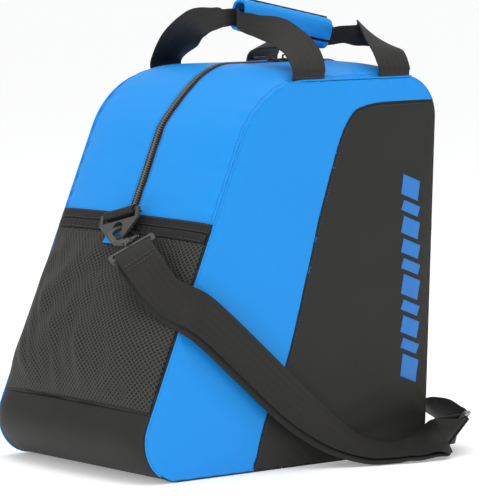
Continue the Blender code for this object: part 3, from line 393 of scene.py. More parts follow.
def long_route(clip):
    """The strap's route from the front loop, down the side and out to the adjuster."""
    away = clip.hook_axis
    start = clip.strap_bar()
    run = ADJUSTER_RUN.normalized()
    return [
        (start, clip.loop_side),
        (start + away * 0.020, clip.loop_side),
        (cm(-13.9, -11.4, 18.9), Vector((0.20, -0.30, 0.90))),
        (cm(-12.2, -13.9, 17.4), Vector((0.45, -0.10, 0.90))),
        (cm(-9.7, -14.4, 15.4), Vector((0.66, 0.0, 0.75))),
        (cm(-5.0, -14.5, 11.4), Vector((0.676, 0.0, 0.737))),
        (cm(0.0, -14.5, 7.2), Vector((0.66, 0.06, 0.75))),
        (cm(4.6, -14.7, 3.9), Vector((0.55, 0.40, 0.70))),
        (cm(8.4, -15.3, 1.8), Vector((0.44, 0.74, 0.46))),
        (cm(11.9, -15.9, 1.0), Vector((0.54, 0.80, 0.22))),
        (cm(13.8, -16.5, 0.95), Vector((0.62, 0.74, 0.22))),
        (cm(15.9, -17.2, 1.30), Vector((0.66, 0.45, 0.40))),
        (ADJUSTER_CENTRE - run * 0.0240, ADJUSTER_WIDTH),
    ]


def short_route(clip):
    """From the adjuster back behind the bag and up to the rear loop."""
    end = clip.strap_bar()
    run = ADJUSTER_RUN.normalized()
    return [
        (ADJUSTER_CENTRE + run * 0.020, ADJUSTER_WIDTH),
        (ADJUSTER_CENTRE + run * 0.027, ADJUSTER_WIDTH),
        (cm(24.4, -13.6, 2.2), Vector((0.0, -0.35, 0.93))),
        (cm(24.8, -11.9, 2.9), Vector((-0.25, -0.38, 0.89))),
        (cm(25.1, -10.0, 3.2), Vector((-0.50, -0.15, 0.85))),
        (cm(25.3, -7.6, 3.4), Vector((-0.75, -0.34, 0.57))),
        (cm(25.0, -4.4, 5.2), Vector((-0.50, -0.80, 0.35))),
        (cm(24.5, -1.4, 9.0), Vector((-0.10, -0.98, 0.10))),
        (Vector((end.x, 0, end.z - 0.055)), Vector((0, -1, 0))),
        (Vector((end.x, 0, end.z - 0.020)), Vector((0, -1, 0))),
        (end, Vector((0, -1, 0))),
    ]


def adjuster_frame():
    """X along the bars, Y along the strap's run, Z away from the bag's side of the strap."""
    return axes(ADJUSTER_CENTRE, -ADJUSTER_WIDTH, ADJUSTER_RUN)


def in_adjuster(points):
    """(along the run, off the plate) pairs as route points in the adjuster's frame."""
    frame = adjuster_frame()
    width = -frame.to_3x3().col[0]
    return [(frame @ Vector((0, along, off)), width) for along, off in points]


def layer(route, spacing, sideways=0.0):
    """A route moved off itself along its normal. Spacing gives the distance at each share of the way."""
    last = len(route) - 1
    made = []
    for i, (point, across, normal, _) in enumerate(route):
        share = i / last
        aside = sideways * min(1.0, 6.0 * share, 6.0 * (1 - share))
        made.append((point + normal * spacing(share) + across * aside, across))
    return made


def bar_turn(point, across, away, radius, normal, steps=12):
    """Route points half way round a bar, on the side that faces away."""
    result = []
    for k in range(1, steps):
        angle = math.pi * k / steps
        side = math.cos(angle)
        off = normal * (radius * side) + away * (radius * math.sin(angle))
        result.append((point + off, across))
    return result


def strap_spacing(share):
    """Half the distance between the strap's two layers: wide round the loop's bar and at the adjuster."""
    at_bar = LOOP_THICKNESS / 2 + 0.0014 + WEBBING / 2
    close = WEBBING / 2 + 0.0006
    at_adjuster = ADJUSTER_THICKNESS / 2 + 0.0006 + WEBBING / 2
    leaving = min(1.0, share * 7.0)
    arriving = min(1.0, max(0.0, (1 - share) * 14.0 - 0.6))
    from_bar = (at_bar - close) * (1 - leaving * leaving * (3 - 2 * leaving))
    to_adjuster = (at_adjuster - close) * (1 - arriving * arriving * (3 - 2 * arriving))
    return close + from_bar + to_adjuster


def grip_frame():
    """X along the grip towards the rear, Y across it, Z up."""
    along = Vector((math.cos(GRIP_TILT), 0, -math.sin(GRIP_TILT)))
    return axes(GRIP_CENTRE, along, Vector((0, 1, 0)))


HANDLE_FEET = {"near": (0.0360, 0.1540), "far": (0.0480, 0.1840)}
HANDLE_RISE = {
    "near": (((1.0, 2.5, 2.95), (1, 0, 0.2)), ((1.0, 2.5, 2.95), (1, 0, -0.1))),
    "far": (((-0.4, 2.5, 3.0), (0.92, 0, -0.4)), ((-1.2, 2.5, 2.85), (0.92, 0, 0.4))),
}
HANDLE_BENDS = {
    "near": (
        [
            ((-5.5, -6.3, -0.6), (0.8, 0, 0.55), 0.85),
            ((-6.4, -3.0, 0.1), (0.3, 0, 0.95), 0.55),
            ((-6.9, -1.2, 0.6), (0, 0, 1), 0.43),
        ],
        [
            ((8.3, -5.0, -1.1), (0.77, 0, -0.63), 0.95),
            ((9.3, -1.9, -1.4), (0.2, 0, -0.98), 0.55),
            ((8.0, -0.7, -1.3), (0, 0, -1), 0.45),
        ],
    ),
    "far": (
        [
            ((-7.2, 6.0, -0.1), (0.5, 0, -0.87), 0.80),
            ((-7.4, 2.4, 0.6), (-0.2, 0, -0.98), 0.60),
            ((-7.2, 0.9, 0.75), (0, 0, -1), 0.45),
        ],
        [
            ((7.7, 5.5, -1.4), (0.6, 0, 0.75), 0.85),
            ((8.7, 2.2, -1.5), (0.1, 0, 0.98), 0.50),
            ((7.7, 0.9, -1.3), (0, 0, 1), 0.45),
        ],
    ),
}


def handle_leg(label, end):
    """Stations (place, width direction, width) from a foot into the grip; end is 0 in front, 1 behind."""
    side = -1 if label == "near" else 1
    x = HANDLE_FEET[label][end]
    edge = side * (WIDTH / 2 - 0.0008)
    foot = HEIGHT + 0.0016
    flat = Vector((1, 0, 0))
    (along, inward, up), rise_width = HANDLE_RISE[label][end]
    stations = [
        (Vector((x, edge, foot)), flat, HANDLE_WIDTH),
        (Vector((x, edge - side * 0.001, foot + 0.0115)), flat, HANDLE_WIDTH),
        (Vector((x, edge, foot)) + cm(along, -side * inward, up), Vector(rise_width), HANDLE_WIDTH),
    ]
    for place, width, share in HANDLE_BENDS[label][end]:
        stations.append((GRIP_CENTRE + cm(*place), Vector(width), HANDLE_WIDTH * share))
    sign = 2 * end - 1
    upright = stations[-1][1]
    inside = grip_frame() @ Vector((sign * (GRIP_LENGTH / 2 + 0.001), side * HANDLE_LANE, HANDLE_DROP))
    stations.append((inside, upright, HANDLE_WIDTH * HANDLE_FOLD))
    return stations


COLOUR_SEAM = [
    (0.0, -0.040),
    (0.056, -0.024),
    (0.108, 0.001),
    (0.184, 0.024),
    (0.261, 0.048),
    (0.307, 0.064),
    (0.343, 0.078),
    (0.363, 0.092),
    (0.370, 0.105),
    (0.374, 0.135),
    (COLOUR_SEAM_TOP, rear_x(COLOUR_SEAM_TOP)),
]


# ---------------------------------------------------------------- meshes


def from_grid(name, rows):
    """A mesh from rows of points, with UVs in metres along and across the rows."""
    tall = len(rows)
    wide = len(rows[0])
    mesh = bpy.data.meshes.new(name)
    points = [tuple(p) for row in rows for p in row]
    faces = []
    corners = []
    across = np.zeros((tall, wide))
    along = np.zeros((tall, wide))
    grid = np.array(points).reshape(tall, wide, 3)
    across[:, 1:] = np.cumsum(np.linalg.norm(np.diff(grid, axis=1), axis=2), axis=1)
    along[1:, :] = np.cumsum(np.linalg.norm(np.diff(grid, axis=0), axis=2), axis=0)
    across -= across[:, -1:] / 2
    for i in range(tall - 1):
        for j in range(wide - 1):
            ring = ((i, j), (i, j + 1), (i + 1, j + 1), (i + 1, j))
            faces.append([a * wide + b for a, b in ring])
            corners += ring
    mesh.from_pydata(points, [], faces)
    layer_uv = mesh.uv_layers.new(name="UVMap")
    flat = np.array([(across[i, j], along[i, j]) for i, j in corners], np.float32).ravel()
    layer_uv.data.foreach_set("uv", flat)
    return mesh


def shown(name, mesh, finish, body="bag", nodes=()):
    """A piece of the look: linked, given its material, and tied to its CAD body and nodes."""
    piece = bpy.data.objects.new(name, mesh)
    bpy.context.scene.collection.objects.link(piece)
    mesh.materials.clear()
    mesh.materials.append(MATERIALS[finish])
    mesh.polygons.foreach_set("use_smooth", [True] * len(mesh.polygons))
    if body:
        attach(piece, body)
    if nodes:
        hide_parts(*nodes)
    return piece


def declare_sheet(piece):
    """Reads a piece's UV coordinates into an array; nothing further is done with them."""
    mesh = piece.data
    used = np.zeros(len(mesh.loops) * 2, np.float32)
    mesh.uv_layers[0].data.foreach_get("uv", used)


def turn_outward(mesh, outward):
    """Flips a sheet's faces if most of them look the wrong way."""
    total = Vector((0.0, 0.0, 0.0))
    for face in mesh.polygons:
        total += face.normal * face.area
    if total.dot(outward) < 0:
        mesh.flip_normals()


def thicken(piece, thickness, offset=-1.0, rounding=0.0):
    solid = piece.modifiers.new("thickness", "SOLIDIFY")
    solid.thickness = thickness
    solid.offset = offset
    solid.use_even_offset = False
    if rounding:
        bevel = piece.modifiers.new("edges", "BEVEL")
        bevel.width = rounding
        bevel.segments = 3
        bevel.limit_method = "ANGLE"
        bevel.angle_limit = math.radians(50)
    return piece


def cloth(name, rows, thickness, finish, outward, nodes=(), body="bag", rounding=0.0):
    mesh = from_grid(name, rows)
    turn_outward(mesh, outward)
    piece = shown(name, mesh, finish, body, nodes)
    return thicken(piece, thickness, -1.0, rounding)


def tube(name, points, radius, finish, body="bag", sides=8):
    """A round cord through points, closed at both ends."""
    verts = []
    faces = []
    across = None
    for i, point in enumerate(points):
        run = (points[min(i + 1, len(points) - 1)] - points[max(i - 1, 0)]).normalized()
        if across is None:
            across = run.orthogonal().normalized()
        across = (across - run * across.dot(run)).normalized()
        other = run.cross(across)
        for k in range(sides):
            angle = 2 * math.pi * k / sides
            verts.append(tuple(point + (across * math.cos(angle) + other * math.sin(angle)) * radius))
    for i in range(len(points) - 1):
        for k in range(sides):
            a = i * sides + k
            b = i * sides + (k + 1) % sides
            faces.append([a, b, b + sides, a + sides])
    faces.append(list(range(sides))[::-1])
    faces.append([(len(points) - 1) * sides + k for k in range(sides)])
    mesh = bpy.data.meshes.new(name)
    mesh.from_pydata(verts, [], faces)
    return shown(name, mesh, finish, body)


STITCH = 0.0026
STITCH_PITCH = 0.0040
THREAD = 0.00032


def stitches(name, points, normals, finish, body="bag"):
    """A row of thread stitches lying on a surface, along points with their normals."""
    verts = []
    faces = []
    total = [0.0]
    for a, b in zip(points, points[1:]):
        total.append(total[-1] + (b - a).length)
    count = int(total[-1] / STITCH_PITCH)
    i = 0
    for n in range(count):
        place = (n + 0.5) * STITCH_PITCH
        while total[i + 1] < place:
            i += 1
        share = (place - total[i]) / (total[i + 1] - total[i])
        centre = points[i].lerp(points[i + 1], share)
        normal = normals[i].normalized()
        run = (points[i + 1] - points[i]).normalized()
        side = normal.cross(run).normalized()
        base = len(verts)
        for along, size, lift in ((-0.5, 0.45, -0.1), (-0.3, 1.0, 0.7), (0.3, 1.0, 0.7), (0.5, 0.45, -0.1)):
            middle = centre + run * (STITCH * along) + normal * (THREAD * lift)
            for k in range(5):
                angle = 2 * math.pi * k / 5
                off = side * math.cos(angle) + normal * math.sin(angle)
                verts.append(tuple(middle + off * THREAD * size))
        for ring in range(3):
            for k in range(5):
                a = base + ring * 5 + k
                b = base + ring * 5 + (k + 1) % 5
                faces.append([a, b, b + 5, a + 5])
        faces.append([base + k for k in range(5)][::-1])
        faces.append([base + 15 + k for k in range(5)])
    mesh = bpy.data.meshes.new(name)
    mesh.from_pydata(verts, [], faces)
    return shown(name, mesh, finish, body)


# ---------------------------------------------------------------- materials


def srgb(r, g, b):
    return [((c / 255 + 0.055) / 1.055) ** 2.4 if c > 10 else c / 255 / 12.92 for c in (r, g, b)]


def new_material(name, colour, roughness, metallic=0.0, coat=0.0):
    made = bpy.data.materials.new(name)
    made.use_nodes = True
    shader = made.node_tree.nodes["Principled BSDF"]
    shader.inputs["Base Color"].default_value = (*colour, 1.0)
    shader.inputs["Roughness"].default_value = roughness
    shader.inputs["Metallic"].default_value = metallic
    shader.inputs["Coat Weight"].default_value = coat
    return made


def waves(tree, source, direction, pitch):
    """Ridges across one UV direction, one each pitch in metres."""
    wave = tree.nodes.new("ShaderNodeTexWave")
    wave.wave_type = "BANDS"
    wave.bands_direction = direction
    wave.inputs["Scale"].default_value = math.pi / 10 / pitch
    wave.inputs["Distortion"].default_value = 0.0
    tree.links.new(source, wave.inputs["Vector"])
    return wave.outputs["Fac"]


def combine(tree, operation, a, b):
    node = tree.nodes.new("ShaderNodeMath")
    node.operation = operation
    for socket, value in zip(node.inputs, (a, b)):
        if isinstance(value, (int, float)):
            socket.default_value = value
        else:
            tree.links.new(value, socket)
    return node.outputs[0]


def noise(tree, source, scale, detail=3.0):
    node = tree.nodes.new("ShaderNodeTexNoise")
    node.inputs["Scale"].default_value = scale
    node.inputs["Detail"].default_value = detail
    tree.links.new(source, node.inputs["Vector"])
    return node.outputs["Fac"]


def woven(name, colour, roughness, pitch, ridge="both", contrast=0.12, patches=0.06, depth=0.0002, sheen=0.0):
    """Cloth with a procedural weave: ridges in the UV's metres, and slow changes of tone."""
    made = new_material(name, colour, roughness)
    tree = made.node_tree
    shader = tree.nodes["Principled BSDF"]
    shader.inputs["Sheen Weight"].default_value = sheen
    shader.inputs["Specular IOR Level"].default_value = 0.28
    place = tree.nodes.new("ShaderNodeUVMap")
    place.uv_map = "UVMap"
    solid = tree.nodes.new("ShaderNodeTexCoord").outputs["Object"]
    along = waves(tree, place.outputs[0], "Y", pitch)
    if ridge == "both":
        across = waves(tree, place.outputs[0], "X", pitch)
        height = combine(tree, "MULTIPLY", along, across)
    elif ridge == "net":
        mirror = tree.nodes.new("ShaderNodeMapping")
        mirror.inputs["Scale"].default_value = (-1.0, 1.0, 1.0)
        tree.links.new(place.outputs[0], mirror.inputs["Vector"])
        one = combine(tree, "POWER", waves(tree, place.outputs[0], "DIAGONAL", pitch), 2.5)
        other = combine(tree, "POWER", waves(tree, mirror.outputs[0], "DIAGONAL", pitch), 2.5)
        height = combine(tree, "MAXIMUM", one, other)
    else:
        across = waves(tree, place.outputs[0], "X", pitch * 4)
        softened = combine(tree, "ADD", 0.6, combine(tree, "MULTIPLY", across, 0.4))
        height = combine(tree, "MULTIPLY", along, softened)
    slow = noise(tree, solid, 9.0)
    fine = noise(tree, solid, 160.0, 2.0)
    tone = combine(tree, "ADD", 1.0 - patches / 2 - contrast / 2, combine(tree, "MULTIPLY", slow, patches))
    tone = combine(tree, "ADD", tone, combine(tree, "MULTIPLY", height, contrast))
    speckle = combine(tree, "MULTIPLY", combine(tree, "SUBTRACT", fine, 0.5), patches * 0.6)
    tone = combine(tree, "ADD", tone, speckle)
    mix = tree.nodes.new("ShaderNodeMix")
    mix.data_type = "RGBA"
    mix.blend_type = "MULTIPLY"
    mix.inputs["Factor"].default_value = 1.0
    mix.inputs["A"].default_value = (*colour, 1.0)
    grey = tree.nodes.new("ShaderNodeCombineColor")
    for socket in grey.inputs[:3]:
        tree.links.new(tone, socket)
    tree.links.new(grey.outputs[0], mix.inputs["B"])
    tree.links.new(mix.outputs["Result"], shader.inputs["Base Color"])
    bump = tree.nodes.new("ShaderNodeBump")
    bump.inputs["Strength"].default_value = 0.6
    bump.inputs["Distance"].default_value = depth
    tree.links.new(combine(tree, "ADD", height, combine(tree, "MULTIPLY", fine, 0.6)), bump.inputs["Height"])
    tree.links.new(bump.outputs[0], shader.inputs["Normal"])
    return made


def moulded(name, colour, roughness, metallic=0.0, grain=0.00005, patches=0.10):
    """Plastic or metal with a fine grain and slow changes of tone."""
    made = new_material(name, colour, roughness, metallic)
    tree = made.node_tree
    shader = tree.nodes["Principled BSDF"]
    solid = tree.nodes.new("ShaderNodeTexCoord").outputs["Object"]
    slow = noise(tree, solid, 40.0)
    ramp = tree.nodes.new("ShaderNodeMix")
    ramp.data_type = "RGBA"
    ramp.inputs["A"].default_value = (*[c * (1 - patches) for c in colour], 1.0)
    ramp.inputs["B"].default_value = (*[min(1.0, c * (1 + patches)) for c in colour], 1.0)
    tree.links.new(slow, ramp.inputs["Factor"])
    tree.links.new(ramp.outputs["Result"], shader.inputs["Base Color"])
    bump = tree.nodes.new("ShaderNodeBump")
    bump.inputs["Strength"].default_value = 0.4
    bump.inputs["Distance"].default_value = grain
    tree.links.new(noise(tree, solid, 900.0, 2.0), bump.inputs["Height"])
    tree.links.new(bump.outputs[0], shader.inputs["Normal"])
    return made


BLUE = srgb(12, 139, 221)
CHARCOAL = srgb(33, 33, 30)
MATERIALS = {
    "blue": woven("blue_coated_cloth", BLUE, 0.50, 0.0009, contrast=0.03, patches=0.05, depth=0.00005),
    "charcoal": woven(
        "charcoal_coated_cloth", CHARCOAL, 0.58, 0.0009, contrast=0.08, patches=0.12,
        depth=0.00007,
    ),
    "net": woven(
        "pocket_net", srgb(44, 44, 42), 0.60, 0.0028, ridge="net", contrast=1.7, patches=0.15,
        depth=0.0005,
    ),
    "webbing": woven(
        "ribbed_webbing", srgb(34, 33, 31), 0.62, 0.0018, ridge="rib", contrast=0.75, patches=0.12,
        depth=0.0003,
    ),
    "trim": woven("black_trim", srgb(27, 27, 27), 0.62, 0.0011, ridge="rib", contrast=0.30, depth=0.0002),
    "thread_blue": moulded("blue_thread", srgb(30, 112, 196), 0.55),
    "thread_dark": moulded("dark_thread", srgb(70, 69, 65), 0.6),
    "teeth": moulded("zip_teeth", srgb(112, 104, 95), 0.36),
    "hard": moulded("grey_plastic", srgb(62, 60, 57), 0.30, patches=0.12),
    "black": moulded("black_plastic", srgb(24, 24, 25), 0.28),
    "steel": moulded("spring_steel", srgb(225, 225, 228), 0.18, 1.0),
    "board": moulded("stiffener_board", srgb(60, 60, 62), 0.6),
    "print": moulded("printed_motif", srgb(24, 112, 190), 0.5, grain=0.00002),
}
for node, finish in (
    *[(f"{kind}_{end}", "hard") for kind in ("ring", "hook", "strap_loop") for end in ("front", "rear")],
    *[(f"{kind}_{end}", "black") for kind in ("slider", "pull", "gate") for end in ("front", "rear")],
    ("strap_adjuster", "black"),
    ("gate_spring_front", "steel"),
    ("gate_spring_rear", "steel"),
    ("base_board", "board"),
):
    mesh = frame["nodes"][node].data
    mesh.materials.clear()
    mesh.materials.append(MATERIALS[finish])
    mesh.polygons.foreach_set("use_smooth", [True] * len(mesh.polygons))
    mesh.polygons.foreach_set("material_index", [0] * len(mesh.polygons))
    mesh.set_sharp_from_angle(angle=math.radians(32))


# ---------------------------------------------------------------- cloth's small shapes


def wave(x, y, scale, seed=0.0):
    return mathutils.noise.noise(Vector((x * scale + seed, y * scale - seed, seed * 0.7)))


def fade(distance, reach):
    """1 at an edge and 0 beyond reach."""
    share = min(1.0, max(0.0, distance / reach))
    return (1 - share) ** 2 * (1 + 2 * share)


def pucker(along, distance, size, pitch, reach, seed):
    """Small gathers beside a seam: waves along it that die out away from it."""
    drift = 2.2 * wave(along, 0.0, 22.0, seed)
    return size * fade(distance, reach) * math.sin(2 * math.pi * along / pitch + drift)


def gusset_wrinkle(distance, y, seed):
    """How far the gusset's cloth stands off its smooth shape."""
    from_side = SEAM_Y - abs(y)
    from_zip = abs(y) - ZIP_OPENING / 2
    hold = 1 - fade(from_side, 0.012)
    broad = 0.0016 * wave(distance, y, 11.0, seed) * hold * (1 - fade(max(0.0, from_zip), 0.02))
    folds = 0.0005 * wave(distance * 3.0, y, 26.0, seed + 3) * hold
    return broad + folds + pucker(distance, from_side, 0.0005, 0.019, 0.030, seed)


RIDGES = {
    "near": (
        ((0.030, 0.045), (0.165, 0.085), 0.011, 0.0018),
        ((0.060, 0.020), (0.190, 0.036), 0.009, -0.0016),
        ((-0.120, 0.090), (-0.050, 0.045), 0.012, 0.0016),
        ((-0.060, 0.250), (0.030, 0.215), 0.016, 0.0014),
        ((-0.020, 0.340), (0.030, 0.300), 0.012, -0.0010),
        ((0.060, 0.190), (0.150, 0.170), 0.013, 0.0009),
    ),
    "far": (
        ((0.020, 0.060), (0.150, 0.030), 0.012, 0.0017),
        ((-0.110, 0.110), (-0.020, 0.060), 0.013, 0.0016),
        ((-0.010, 0.300), (0.090, 0.270), 0.015, -0.0013),
        ((0.080, 0.160), (0.170, 0.200), 0.012, 0.0010),
    ),
}


def side_wrinkle(label, x, z):
    low, high = side_edges(min(max(z, 0.0005), HEIGHT - 0.0005))
    edge = min(x - low, high - x, z, HEIGHT - z)
    hold = 1 - fade(max(0.0, edge), 0.020)
    seed = 4.0 if label == "near" else 9.0
    total = 0.0022 * wave(x, z, 8.0, seed) + 0.0006 * wave(x, z, 24.0, seed + 2)
    place = Vector((x, z))
    for start, end, width, size in RIDGES[label]:
        a = Vector(start)
        b = Vector(end)
        share = (place - a).dot(b - a) / (b - a).length_squared
        gap = (place - a.lerp(b, min(1.0, max(0.0, share)))).length
        profile = math.exp(-((gap / width) ** 2))
        total += size * profile * math.sin(math.pi * min(1.0, max(0.0, share * 0.8 + 0.1)))
    along = x + z
    return total * hold + pucker(along, max(0.0, edge), 0.0004, 0.021, 0.028, seed)


def side_point(label, x, z, lift=0.0):
    side = -1 if label == "near" else 1
    swell = side_swell(x, z) + side_wrinkle(label, x, z)
    return Vector((x, side * (WIDTH / 2 + swell + lift), z))


def gusset_rows(start, end, low, high, steps, columns, seed, lift=0.0, flat=False):
    rows = []
    for d in spread(start, end, steps):
        row = []
        for y in spread(low, high, columns):
            rise = lift + (0.0 if flat else gusset_wrinkle(d, y, seed))
            row.append(gusset_point(d, y, rise))
        rows.append(row)
    return rows


# ---------------------------------------------------------------- shell


def seam_line():
    """The colour seam of a side panel as a smooth line of (x, z) points."""
    knots = [Vector((x, z)) for z, x in COLOUR_SEAM]
    padded = [knots[0], *knots, knots[-1]]
    made = []
    for i in range(1, len(padded) - 2):
        a, b, c, d = padded[i - 1 : i + 3]
        for k in range(12):
            t = k / 12
            made.append(through(a, b, c, d, t))
    made.append(knots[-1])
    return made


def side_shell(label):
    side = -1 if label == "near" else 1
    line = seam_line()
    starts = np.array([tuple(p) for p in line[:-1]])
    runs = np.array([tuple(p) for p in line[1:]]) - starts
    tall, wide = 190, 170
    heights = spread(0.0008, HEIGHT - 0.0008, tall)
    places = []
    for z in heights:
        low, high = side_edges(z)
        places += [(x, z) for x in spread(low, high, wide)]
    flat = np.array(places)
    offset = flat[:, None, :] - starts[None]
    share = np.clip((offset * runs).sum(2) / (runs**2).sum(1), 0, 1)
    nearest = starts[None] + runs[None] * share[..., None]
    gaps = np.linalg.norm(flat[:, None, :] - nearest, axis=2)
    pick = gaps.argmin(1)
    best = gaps.min(1)
    rows_index = np.arange(len(flat))
    run, off = runs[pick], offset[rows_index, pick]
    turn = run[:, 0] * off[:, 1] - run[:, 1] * off[:, 0]
    sign = np.where(turn > 0, -1.0, 1.0)
    snap = best < 0.0012
    column = rows_index % wide
    inner = (flat[:, 1] > 0.002) & (column > 0) & (column < wide - 1)
    moved = flat.copy()
    moved[snap & inner] = nearest[rows_index, pick][snap & inner]
    signed = np.where(snap & inner, 0.0, sign * best)
    grid = [[side_point(label, *moved[i * wide + j]) for j in range(wide)] for i in range(tall)]
    whole = from_grid("side", grid)
    turn_outward(whole, Vector((0, side, 0)))
    for part, keep, finish, nodes in (
        ("front", -1, "blue", (f"side_panel_front_{label}",)),
        ("rear", 1, "charcoal", (f"side_panel_rear_{label}",)),
    ):
        mesh = whole.copy()
        shape = bmesh.new()
        shape.from_mesh(mesh)
        shape.verts.ensure_lookup_table()
        doomed = []
        for face in shape.faces:
            side_sum = sum(signed[v.index] for v in face.verts)
            if side_sum * keep < 0 or (side_sum == 0 and keep > 0):
                doomed.append(face)
        bmesh.ops.delete(shape, geom=doomed, context="FACES")
        shape.to_mesh(mesh)
        shape.free()
        mesh.name = f"side_{part}_{label}"
        piece = shown(f"side_{part}_{label}", mesh, finish, "bag", nodes)
        thicken(piece, FABRIC)
        declare_sheet(piece)
    bpy.data.meshes.remove(whole)
    clear = [p for p in line if p.y > 0.003 and p.x < rear_x(p.y) - 0.0025]
    on_cloth = [side_point(label, p.x, p.y, 0.0001) for p in clear]
    tube(f"colour_seam_{label}", [p + Vector((0, side * -0.0001, 0)) for p in on_cloth], 0.00080, "trim")
    aside = []
    for a, b in zip(line, line[1:]):
        run = (b - a).normalized()
        place = a + Vector((run.y, -run.x)) * 0.0030
        if 0.004 < place.y < 0.373 and place.x < rear_x(place.y) - 0.004:
            aside.append(side_point(label, place.x, place.y, 0.0001))
    stitches(f"colour_seam_stitching_{label}", aside, [Vector((0, side, 0))] * len(aside), "thread_dark")


def outline_points(start, end, y, lift, step=0.004):
    count = max(2, int((end - start) / step))
    return [gusset_point(d, y, lift) for d in spread(start, end, count)]


def shell():
    front_seam = distance_at(FRONT_SEAM + TAPE_HEIGHT / 2, "front")
    rear_seam = distance_at(REAR_SEAM + TAPE_HEIGHT / 2, "rear")
    base_front = distance_at(BASE_SEAM, "front")
    base_rear = distance_at(BASE_SEAM, "rear")
    total = DISTANCES[-1]
    for label in ("near", "far"):
        side_shell(label)
    for label, side in (("near", -1), ("far", 1)):
        low, high = sorted((side * ZIP_OPENING / 2, side * SEAM_Y))
        rows = gusset_rows(front_seam, rear_seam, low, high, 300, 44, 2.0 + side)
        panel = cloth(f"upper_{label}", rows, FABRIC, "blue", Vector((0, 0, 1)), (f"upper_gusset_{label}",))
        declare_sheet(panel)
        low, high = sorted((side * GAP, side * (ZIP_OPENING / 2 - GAP)))
        rows = gusset_rows(front_seam, rear_seam, low, high, 220, 5, 2.0, flat=True)
        cloth(f"zip_tape_look_{label}", rows, ZIP_TAPE, "trim", Vector((0, 0, 1)), (f"zip_tape_{label}",))
        for inset in (ZIP_OPENING / 2 + 0.0022, SEAM_Y - 0.0040):
            along = spread(front_seam + 0.008, rear_seam - 0.008, 260)
            y = side * inset
            points = [gusset_point(d, y, gusset_wrinkle(d, y, 2.0 + side) + 0.0001) for d in along]
            stitches(
                f"stitching_{label}_{int(inset * 1e4)}", points, [outward_at(d) for d in along],
                "thread_blue",
            )
        edge = side * (WIDTH / 2 - 0.0007)
        blue_end = distance_at(COLOUR_SEAM_TOP, "rear")
        for part, start, end, lift, radius, finish in (
            ("blue", 0.16, blue_end, 0.0001, 0.0011, "blue"),
            ("rear", blue_end, total - 0.001, -0.0001, 0.0010, "charcoal"),
            ("base", 0.001, 0.16, -0.0001, 0.0010, "charcoal"),
        ):
            tube(f"welt_{part}_{label}", outline_points(start, end, edge, lift), radius, finish)
        inside = []
        for d in spread(distance_at(BASE_SEAM + 0.01, "front"), distance_at(BASE_SEAM + 0.01, "rear"), 160):
            ys = [side * (SEAM_Y - 0.0015), side * (SEAM_Y - 0.0065), side * (SEAM_Y - 0.0115)]
            inside.append([gusset_point(d, y, -(FABRIC + 0.0016)) for y in ys])
        nodes = (f"seam_binding_{label}",)
        cloth(f"inner_binding_{label}", inside, 0.0010, "trim", Vector((0, 0, 1)), nodes)
    panels = (
        ("front_panel", base_front, front_seam, 5.0, FRONT_OUT, "front_lower_panel"),
        ("rear_panel", rear_seam, base_rear, 6.0, REAR_OUT, "rear_lower_panel"),
    )
    for name, start, end, seed, out, node in panels:
        rows = gusset_rows(start, end, -SEAM_Y, SEAM_Y, 60, 70, seed)
        declare_sheet(cloth(name, rows, FABRIC, "charcoal", out, (node,)))
    around = [*spread(base_rear, total, 70)[:-1], *spread(0.0, base_front, 90)]
    rows = []
    for d in around:
        facing = max(0.0, -outward_at(d).z)
        row = []
        for y in spread(-SEAM_Y, SEAM_Y, 60):
            row.append(gusset_point(d, y, gusset_wrinkle(d, y, 7.0) * (1 - facing) ** 2))
        rows.append(row)
    band = cloth("base_band", rows, FABRIC, "charcoal", Vector((0, 0, -1)), ("base_panel",))
    declare_sheet(band)
    for end, height in (("front", FRONT_SEAM), ("rear", REAR_SEAM)):
        ends = sorted((distance_at(height, end), distance_at(height + TAPE_HEIGHT, end)))
        rows = gusset_rows(*ends, -SEAM_Y, SEAM_Y, 8, 90, 5.0, WEBBING + GAP, flat=True)
        out = FRONT_OUT if end == "front" else REAR_OUT
        cloth(f"{end}_webbing_band", rows, WEBBING, "trim", out, (f"{end}_tape",), rounding=0.0004)
        for part in (0.14, 0.86):
            d = ends[0] + (ends[1] - ends[0]) * part
            points = [gusset_point(d, y, WEBBING + GAP) for y in spread(-SEAM_Y + 0.003, SEAM_Y - 0.003, 80)]
            stitches(f"{end}_band_stitching_{int(part * 100)}", points, [out] * 80, "thread_dark")
    for end, above in (("front", 0.0035), ("rear", -0.0035)):
        d = distance_at(BASE_SEAM + above, end)
        points = [gusset_point(d, y, 0.0002) for y in spread(-SEAM_Y + 0.003, SEAM_Y - 0.003, 80)]
        out = FRONT_OUT if end == "front" else REAR_OUT
        stitches(f"{end}_base_stitching", points, [out] * 80, "thread_dark")


